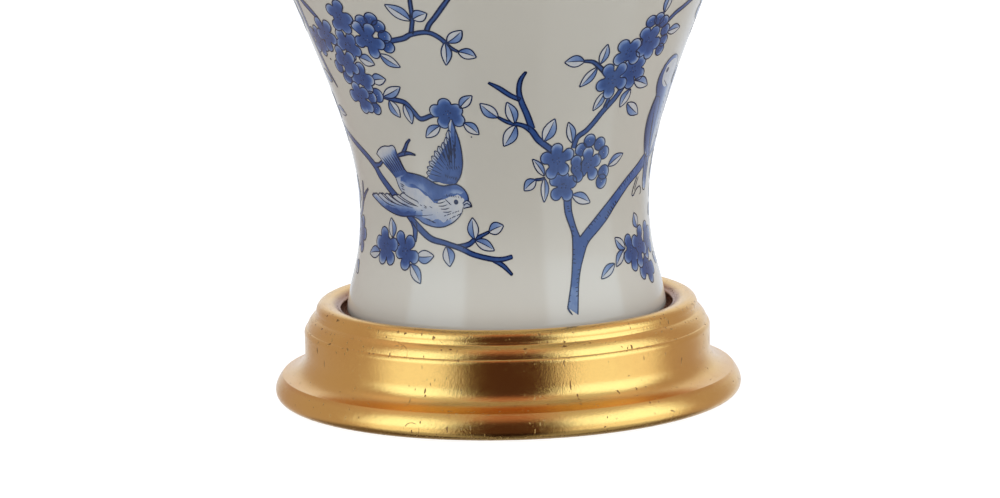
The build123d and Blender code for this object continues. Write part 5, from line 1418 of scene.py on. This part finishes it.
def strap_mesh(path, width, thick, material, corner=0.35):
    """A flat bar along points of the XZ plane, its width across them."""
    w, t = width / 2, thick / 2
    section = [(side * (w - (corner if flat else 0)), face * (t - (0 if flat else corner)))
               for side, face, order in ((1, 1, (0, 1)), (-1, 1, (1, 0)), (-1, -1, (0, 1)), (1, -1, (1, 0)))
               for flat in order]
    out = sides(np.array(path))
    rows = [[(x + u * n[0], y, z + u * n[1]) for y, u in section] for (x, z), n in zip(path, out)]
    return closed_mesh("strap", [[tuple(c * MM for c in p) for p in row] for row in rows], material)


half_strap = bent([(5.1, 401.9), (18, 401.9), (25, 416.1), (30.5, 416.1)], (5, 5), 8)
strap_parts = [strap_mesh([(side * x, z) for x, z in half_strap], 11.0, 1.8, brass) for side in (-1, 1)]
hub = [(5.0, 401), (10.7, 401), (11, 401.3), (11, 402.5), (10.7, 402.8), (5.0, 402.8), (5.0, 401)]
posts = []
for side in (-1, 1):
    post = turned_mesh("post", [(0, 416), (1.6, 416), (1.6, 425.5), (1.1, 426), (0, 426)], brass, 24)
    post.transform(Matrix.Translation((side * LEG * MM, 0, 0)))
    posts.append(post)
weld("saddle", [*strap_parts, turned_mesh("hub", hub, brass, 96), *posts], "lamp", ["harp_saddle"])

# %% Turn the two ferrules
ferrule = join([(2.4, 417), (3.4, 417)], arc((3.4, 417), (4.0, 417.7), (3.4, 418.4), 8),
               arc((3.4, 429.9), (4.0, 430.6), (3.4, 431.3), 8),
               [(3.4, 431.7), (3.1, 432), (2.4, 432), (2.4, 417)])
for side, body in ((-1, "ferrule_left"), (1, "ferrule_right")):
    turn_piece(body + "_sleeve", ferrule, body, brass, [body], 48,
               place=Matrix.Translation((side * LEG * MM, 0, 0)))

# %% [markdown]
# ## The socket
# A socket is a spun brass shell over a moulded block that carries the contacts. The switch's
# knob turns on a shaft that comes out through a bush in front. The shell is turned, then
# drilled for the bush. The knob has flutes, one shape repeated round it, so a node tree
# presses each point in by how near it is to the middle of a flute.

# %% Spin the socket's cap and shell
socket_cap = join([(4.9, 402.8), (8.4, 402.8), (8.4, 410.8)],
                  arc((8.4, 410.8), (15.0, 413.0), (17.2, 417.8), 16), [(17.2, 422.6)],
                  arc((17.2, 422.6), (16.95, 423.0), (17.2, 423.4), 4),
                  [(17.2, 424.6), (17.0, 424.8), (16.4, 424.8)],
                  arc((16.4, 417.8), (14.2, 413.8), (8.4, 411.6), 12), [(4.9, 411.6), (4.9, 402.8)])
cup = turn_piece("socket_cup", socket_cap, "lamp", brass, ["socket_cap"], 96)
drill(cup, 1.7, (0, 4.0, 406.8), (0, 12.0, 406.8))
shell_outline = join([(15.45, 419.8), (16.25, 419.8)], [(16.25, 426.2)],
                     arc((16.25, 461.2), (15.95, 461.6), (16.25, 462.0), 4),
                     arc((16.25, 464.4), (16.95, 465.5), (16.25, 466.6), 10),
                     [(16.25, 467.5), (15.95, 467.8), (15.45, 467.8), (15.45, 419.8)])
shell = turn_piece("socket_sleeve", shell_outline, "lamp", brass, ["socket_shell"], 96)
SWITCH_HEIGHT = 430.8
drill(shell, 4.5, (0, -11.9, SWITCH_HEIGHT), (0, -20.2, SWITCH_HEIGHT))

# %% Press flutes into the knob, as a node tree
def flute_group():
    inputs = [("Knob", "Geometry", None), ("Flutes", "Int", 10), ("Depth", "Float", 0.0006),
              ("From", "Float", 0.004), ("Radius", "Float", 0.005), ("Material", "Material", None)]
    tree, given = new_group("flutes", inputs)
    x, y, z = split(tree, tree.add("GeometryNodeInputPosition"))
    near = (y.math("ARCTAN2", x) * given["Flutes"]).math("COSINE")
    far_out = (x * x + y * y) ** 0.5 / given["Radius"]
    press = smooth_step(near, 0.35, 1.0) * smooth_step(far_out, 0.55, 1.0) * (z > given["From"])
    inward = vector(tree, x * -1.0, y * -1.0)
    step = tree.add("ShaderNodeVectorMath", {"operation": "SCALE"},
                    {0: inward, "Scale": press * given["Depth"] / given["Radius"]})
    pressed = tree.add("GeometryNodeSetPosition", {}, {"Geometry": given["Knob"], "Offset": step})
    return end_group(tree, pressed, given["Material"])


def reshape(mesh, group, values):
    """Runs a node tree on a mesh and returns the new mesh."""
    stock = link(bpy.data.objects.new("stock", mesh))
    made = run_group(stock, group, values)
    bpy.data.objects.remove(stock)
    return made


FLUTES = flute_group()
SHELL_RADIUS, BUSH_STANDS_OUT, KNOB_GAP = 16.25, 4.0, 0.5
KNOB_FACE = -(SHELL_RADIUS + BUSH_STANDS_OUT + KNOB_GAP)
knob_outline = join([(0, 0), (3.1, 0), (3.4, 0.3), (3.4, 4.0)], line((3.4, 4.0), (4.2, 4.0), 2),
                    arc((4.2, 4.0), (4.75, 4.25), (5.0, 4.8), 5), line((5.0, 4.8), (5.0, 13.1), 12),
                    arc((5.0, 13.1), (4.74, 13.74), (4.1, 14.0), 6), line((4.1, 14.0), (2.6, 14.0), 3),
                    [(2.3, 13.7), (0, 13.7)])
knob_mesh = reshape(turned_mesh("knob", knob_outline, moulding, 160), FLUTES,
                    {"Flutes": 10, "Depth": 0.0006, "From": 0.0041, "Radius": 0.005, "Material": moulding})
forward = Matrix.Rotation(math.radians(90), 4, "X")
knob_mesh.transform(Matrix.Translation((0, KNOB_FACE * MM, SWITCH_HEIGHT * MM)) @ forward)
weld("knob", [knob_mesh], "switch", ["switch_knob"])

# %% [markdown]
# ## Screw threads, the bulb and the stud
# A thread is a wave that climbs as it goes round. The tree below presses it into a turned
# mesh: the wave's phase comes from the height and the angle together, and a soft mask fades
# it out at both ends. One tree serves the bulb's base, with its coarse rolled thread, and
# the fine thread of the stud that holds the shade.

# %% Press a thread, as a node tree
def thread_group():
    inputs = [("Blank", "Geometry", None), ("Pitch", "Float", 0.0036), ("Depth", "Float", 0.0005),
              ("Low", "Float", 0.0), ("High", "Float", 0.01), ("Material", "Material", None)]
    tree, given = new_group("screw_thread", inputs)
    x, y, z = split(tree, tree.add("GeometryNodeInputPosition"))
    turns = z / given["Pitch"] - y.math("ARCTAN2", x) / (2 * math.pi)
    wave = 0.5 - (turns * (2 * math.pi)).math("COSINE") * 0.5
    lead = given["Pitch"] * 0.5
    begun = smooth_step(z, given["Low"], given["Low"] + lead)
    ended = smooth_step(z, given["High"] - lead, given["High"])
    radius = ((x * x + y * y) ** 0.5).math("MAXIMUM", 1e-6)
    inward = vector(tree, x / radius * -1.0, y / radius * -1.0)
    step = tree.add("ShaderNodeVectorMath", {"operation": "SCALE"},
                    {0: inward, "Scale": wave * begun * (1 - ended) * given["Depth"]})
    cut = tree.add("GeometryNodeSetPosition", {}, {"Geometry": given["Blank"], "Offset": step})
    return end_group(tree, cut, given["Material"])


THREAD = thread_group()


def base_metal_pattern(tree):
    """White metal, with the black glass cone and the tip of a bulb's base below it."""
    spot = place_on_piece(tree)
    height = split(tree, spot)[2]
    metal = smooth_step(height, 0.4448, 0.4452)
    tip = 1 - smooth_step(height, 0.43995, 0.44005)
    rub = smooth_step(noise(tree, spot, 240.0, 4.0, 0.6), 0.45, 0.7)
    fleck = noise(tree, spot, 1400.0, 2.0, 0.6)
    colour = mix(metal.math("MAXIMUM", tip), (0.012, 0.012, 0.014),
                 mix(rub, (0.78, 0.78, 0.76), (0.58, 0.57, 0.55)))
    return {"Base Color": colour, "Metallic": metal.math("MAXIMUM", tip),
            "Roughness": 0.24 + rub * 0.14 + fleck * 0.06, "Normal": bump(tree, fleck, 0.00002, 0.6)}


base_metal = make_material("aluminium_shell", {}, base_metal_pattern)
sleeve = join([(0, 438.0)], arc((0, 438.0), (3.2, 438.25), (4.6, 439.2), 6),
              [(4.6, 440.0), (11.6, 444.4), (12.9, 445.0)], line((13.15, 445.4), (13.15, 459.4), 48),
              [(12.9, 460.2), (12.9, 463.0), (0, 463.0)])
screw = reshape(turned_mesh("sleeve", sleeve, base_metal, 96), THREAD,
                {"Pitch": 3.6 * MM, "Depth": 0.5 * MM, "Low": 0.4454, "High": 0.4606, "Material": base_metal})
weld("bulb_screw", [screw], "bulb", ["bulb_base"], 60)

# %% Blow the bulb
def frost_pattern(tree):
    """Glass frosted inside: even and pale, a little thinner and clearer in places."""
    spot = place_on_piece(tree)
    haze = noise(tree, spot, 60.0, 3.0, 0.5)
    etch = noise(tree, spot, 1800.0, 2.0, 0.6)
    return {"Base Color": mix(haze, (0.90, 0.90, 0.885), (0.95, 0.95, 0.94)), "Roughness": 0.34 + haze * 0.14,
            "Normal": bump(tree, etch, 0.00002, 0.4)}


frost = make_material("frosted_glass", {"Transmission Weight": 0.62, "IOR": 1.45}, frost_pattern)
touch_point = (23.229, 496.01)
globe_out = join([(0, 463), (14.2, 463), (14.2, 470.7)], arc((14.2, 470.7), (16.6, 484.2), touch_point, 16),
                 arc(touch_point, (30, 515), (0, 545), 48))
globe_in = join([(0, 464), (13.2, 464), (13.2, 489.18)], arc((13.2, 489.18), (29, 515), (0, 544), 48))[::-1]
weld("bulb_globe", [turned_mesh("out", globe_out, frost, 96), turned_mesh("in", globe_in, frost, 96)], "bulb",
     ["bulb_glass"], 60)

# %% [markdown]
# ## The shade's frame and its finial
# The frame hangs from the stud: a hub, three arms and two rings. The finial screws down on
# the stud and holds the hub. It has a flared brass foot and a gilded pear above it.

# %% Turn the stud
stud = join(arc((0, 639.5), (3.0, 639.85), (4.6, 641.0), 8),
            [(4.6, 641.5), (2.6, 641.5), (2.6, 646), (6.1, 646), (6.4, 646.3), (6.4, 648.1), (6.1, 648.4),
             (3.1, 648.4)], line((3.1, 648.6), (3.1, 664.8), 170), [(2.5, 665.4), (0, 665.4)])
stud_mesh = reshape(turned_mesh("stud", stud, brass, 40), THREAD,
                    {"Pitch": 0.95 * MM, "Depth": 0.34 * MM, "Low": 0.6486, "High": 0.6655,
                     "Material": brass})
weld("shade_stud", [stud_mesh], "shade", ["harp_stud"], 50)

# %% Bend the frame
RING_TOP, RING_LOW = (161.758, 660.0), (199.042, 409.8)


def ring_path(radius, height, count=180):
    turns = [2 * math.pi * k / count for k in range(count)]
    return [(radius * math.cos(t), radius * math.sin(t), height) for t in turns]


arm = bent([(8.5, 650.4), (134.26, 650.4), (151.26, 660.0), (161.5, 660.0)], (7, 7), 10)
hub = [(3.5, 648.4), (12.6, 648.4), (13, 648.8), (13, 650.0), (12.6, 650.4), (3.5, 650.4), (3.5, 648.4)]
spokes = []
for k in range(3):
    turn = math.radians(90 + 120 * k)
    spokes.append(wire_mesh([(x * math.cos(turn), x * math.sin(turn), z) for x, z in arm], 1.9, brass))
weld("spider", [turned_mesh("hub", hub, brass, 96), *spokes], "shade", ["shade_spider"])
for name, (radius, height) in (("shade_top_ring", RING_TOP), ("shade_bottom_ring", RING_LOW)):
    weld(name + "_wire", [wire_mesh(ring_path(radius, height), 1.4, brass, True, 14)], "shade", [name])

# %% Turn the finial
def tangent_arc(start, end, steps):
    """An arc that leaves start straight up or down and ends at end."""
    run = (end[0] - start[0], end[1] - start[1])
    radius = (run[0] ** 2 + run[1] ** 2) / (2 * run[0])
    centre = (start[0] + radius, start[1])
    first, last = (math.atan2(p[1] - centre[1], p[0] - centre[0]) for p in (start, end))
    sweep = (last - first + math.pi) % (2 * math.pi) - math.pi
    return [(centre[0] + abs(radius) * math.cos(first + sweep * i / steps),
             centre[1] + abs(radius) * math.sin(first + sweep * i / steps)) for i in range(steps + 1)]


foot_cup = join([(0, 666.46), (3.16, 666.46), (3.16, 650.4), (6.7, 650.4), (7.0, 650.7), (7.0, 652.0)],
                arc((7.0, 652.0), (5.4, 653.8), (5.0, 657.4), 12),
                [(5.0, 659.4), (4.6, 659.4), (4.6, 668.96), (0, 668.96)])
turn_piece("finial_foot", foot_cup, "finial", brass, ["finial_base"], 80)
widest, shoulder = (11.0, 671.58), (6.6, 678.89)
pear = join([(0, 669.01), (4.65, 669.01), (4.65, 659.4)], tangent_arc(widest, (7.05, 659.4), 18)[::-1],
            tangent_arc(widest, shoulder, 14), tangent_arc((2.2, 686.2), shoulder, 14)[::-1],
            arc((2.2, 686.2), (1.556, 687.756), (0, 688.4), 8))
turn_piece("finial_pear", pear, "finial", leaf_gold, ["finial_knob"], 96)

# %% [markdown]
# ## The shade
# The cover is linen on a thin backing, cut from the flat as part of a wide ring and joined in
# one seam. Its threads stay straight in that flat cloth, so they lean more and more toward
# the back of the shade. The pattern is worked out in the same flat sheet: the angle round
# the cone shrinks by the cone's own share, and the threads run along x and y there. Threads
# are thinner than a pixel from afar, so the slubs, the thick places, carry the look.

# %% Linen, its lining and its tape
RIM_LOW, RIM_TOP = (203.0, 407.4), (165.0, 662.4)
LEAN = (RIM_LOW[0] - RIM_TOP[0]) / math.dist(RIM_LOW, RIM_TOP)


def flat_cloth(tree):
    """Where a point of the cone lies on the flat cloth, as two numbers in metres."""
    x, y, _ = split(tree, place_on_piece(tree))
    angle = x.math("ARCTAN2", y * -1.0) * LEAN
    reach = (x * x + y * y) ** 0.5 / LEAN
    return angle.math("SINE") * reach, angle.math("COSINE") * reach


def cloth_pattern(thread, pale, dark, relief, slub=1.0):
    """Plain weave on the flat cloth, with slubs along both threads."""
    def pattern(tree):
        across, down = flat_cloth(tree)
        warp, weft = across / thread, down / thread
        over = ((warp.math("FLOOR") + weft.math("FLOOR")) * 0.5).math("FRACT") * 2.0
        warp_round = (warp.math("FRACT") * math.pi).math("SINE")
        weft_round = (weft.math("FRACT") * math.pi).math("SINE")
        woven = over * warp_round + (1 - over) * weft_round
        upright = vector(tree, across * 1500.0, down * 75.0)
        level = vector(tree, across * 75.0, down * 1500.0, 7.0)
        slubs = noise(tree, upright, 1.0, 2.0, 0.5) + noise(tree, level, 1.0, 2.0, 0.5) - 1.0
        cloud = noise(tree, place_on_piece(tree), 14.0, 3.0, 0.5)
        shade = 0.5 + slubs * 1.1 * slub + (woven - 0.6) * 0.25 + (cloud - 0.5) * 0.25
        shade = shade.math("MINIMUM", 1.0).math("MAXIMUM", 0.0)
        return {"Base Color": mix(shade, dark, pale), "Roughness": 0.80 + woven * 0.12,
                "Normal": bump(tree, woven * 0.5 + slubs * 1.2 * slub, relief, 0.8)}
    return pattern


linen = make_material("shade_linen", {"Sheen Weight": 0.25, "Specular IOR Level": 0.25},
                      cloth_pattern(0.0007, (0.60, 0.565, 0.50), (0.40, 0.37, 0.315), 0.00016))
tape = make_material("shade_tape", {"Sheen Weight": 0.2, "Specular IOR Level": 0.25},
                     cloth_pattern(0.0005, (0.56, 0.525, 0.46), (0.38, 0.35, 0.30), 0.00010, 0.6))


def lining_pattern(tree):
    spot = place_on_piece(tree)
    pulp = noise(tree, spot, 420.0, 4.0, 0.65)
    cloud = noise(tree, spot, 18.0, 3.0, 0.5)
    return {"Base Color": mix((pulp + cloud) * 0.5, (0.60, 0.585, 0.55), (0.74, 0.725, 0.69)),
            "Roughness": 0.55 + pulp * 0.2, "Normal": bump(tree, pulp, 0.00006, 0.6)}


lining = make_material("shade_liner", {}, lining_pattern)

# %% Cut and join the shade
def cone_radius(height):
    share = (RIM_TOP[1] - height) / (RIM_TOP[1] - RIM_LOW[1])
    return RIM_TOP[0] + (RIM_LOW[0] - RIM_TOP[0]) * share


def cone_section(inset, thick, low, high, steps=1):
    """Both faces of a sheet that lies along the shade's side, with rounded edges."""
    out = [(cone_radius(z) - inset, z) for z in np.linspace(low + thick / 2, high - thick / 2, steps + 1)]
    (r0, z0), (r1, z1) = out[0], out[-1]
    t = thick
    round_off = ((0.15, 0.35), (0.5, 0.5), (0.85, 0.35))
    lower = [(r0 - t * back, z0 - t * past) for back, past in reversed(round_off)]
    upper = [(r1 - t * back, z1 + t * past) for back, past in round_off]
    return join(lower, out, upper, [(r - t, z) for r, z in out[::-1]], lower[:1])


LINER_IN, LINER_SHORT, LINER_RIMS = 1.05, 0.5, (201.5, 163.6)
TAPE_TALL, TAPE_CUT, SEAM_CLEAR = 11.0, 0.0115, 0.4
cover_section = cone_section(0, 1.0, RIM_LOW[1], RIM_TOP[1], 24)
liner_section = cone_section(LINER_IN, 0.8, RIM_LOW[1] + LINER_SHORT, RIM_TOP[1] - LINER_SHORT, 24)
cover = turn_piece("cover", cover_section, "shade", linen, ["shade_cover"], 288, 60)
liner = turn_piece("liner", liner_section, "shade", lining, ["shade_lining"], 288, 60)


def seam_rows(width=9.0, thick=0.35):
    """The lapped end of the cover: a second layer over the seam at the back."""
    rows = []
    low, high = RIM_LOW[1] + TAPE_TALL + SEAM_CLEAR, RIM_TOP[1] - TAPE_TALL - SEAM_CLEAR
    for z in np.linspace(low, high, 40):
        radius = cone_radius(z) + 0.02
        half = width / 2 / radius
        steps = np.linspace(-half, half, 9)
        rise = [thick if 0 < k < 8 else thick * 0.35 for k in range(9)]
        ring = [(radius + up, a) for a, up in zip(steps, rise)] + [(radius - 0.2, a) for a in (half, -half)]
        rows.append([(r * math.sin(a) * MM, r * math.cos(a) * MM, z * MM) for r, a in ring])
    return rows


seam = weld("cover_seam", [closed_mesh("seam", seam_rows(), linen)], "shade")
for name, low in (("top_trim", RIM_TOP[1] - TAPE_TALL), ("bottom_trim", RIM_LOW[1])):
    tape_section = cone_section(-0.95, 0.9, low, low + TAPE_TALL, 8)
    trim = turn_piece(name + "_tape", tape_section, "shade", tape, [name], 288, 60)
    middle = cone_radius(low + TAPE_TALL / 2) + 0.5
    2 * math.pi * middle * MM

# %% [markdown]
# ## Felt under the base
# A disc of felt covers the hole under the base and keeps the gilding off the table.

# %% Cut the felt
def felt_pattern(tree):
    spot = place_on_piece(tree)
    fibres = noise(tree, spot, 700.0, 5.0, 0.75, 1.5)
    nap = noise(tree, spot, 60.0, 3.0, 0.6)
    return {"Base Color": mix((fibres + nap) * 0.5, (0.030, 0.062, 0.045), (0.075, 0.130, 0.098)),
            "Roughness": 0.92 + fibres * 0.06, "Normal": bump(tree, fibres, 0.0004, 0.9)}


felt = make_material("felt", {"Sheen Weight": 0.4, "Specular IOR Level": 0.15}, felt_pattern)
disc = join(line((0, 0.05), (81.6, 0.05), 12), arc((81.9, 0.08), (82.6, 1.0), (82.0, 1.9), 8),
            line((81.8, 1.95), (0, 1.95), 12))
pad = turn_piece("felt_disc", disc, "lamp", felt, ["felt_pad"], 192, 50)

# %% [markdown]
# ## What stays as the solid model made it
# Washers, nut, pipe, contacts and gaskets are plain shapes that hardly show. Their solids
# are kept as they are, and each gets the material of what it is made of.

# %% Materials for the solids that stay
def card_pattern(tree):
    """Grey-brown fibre card, with its fibres lying round the socket."""
    fibres = noise(tree, place_on_piece(tree, (1.0, 1.0, 6.0)), 500.0, 4.0, 0.7)
    return {"Base Color": mix(fibres, (0.19, 0.15, 0.11), (0.34, 0.29, 0.22)),
            "Roughness": 0.70 + fibres * 0.15, "Normal": bump(tree, fibres, 0.00005, 0.6)}


card = make_material("liner_card", {}, card_pattern)
KEPT = {"polished_brass": (brass, ["lamp_pipe", "socket_set_screw", "terminal_screws",
                                   "centre_contact", "switch_shaft"]),
        "zinc_steel": (steel, ["lower_nut", "lock_washer", "plate_washer"]),
        "aluminium_shell": (base_metal, ["screw_shell"]),
        "gasket_rubber": (rubber, ["foot_gasket", "mouth_gasket"]),
        "black_moulding": (moulding, ["socket_insulator"]),
        "liner_card": (card, ["insulating_liner"])}
for slot, (material, names) in KEPT.items():
    for name in names:
        solid = NODES[name]
        solid.data.materials.clear()
        solid.data.materials.append(material)
print(sum(len(names) for _, names in KEPT.values()), "solids kept")

# %% [markdown]
# ## Finish
# The render's colours are shown plainly, through the Standard view transform.

# %% Finish
bpy.context.scene.view_settings.view_transform = "Standard"
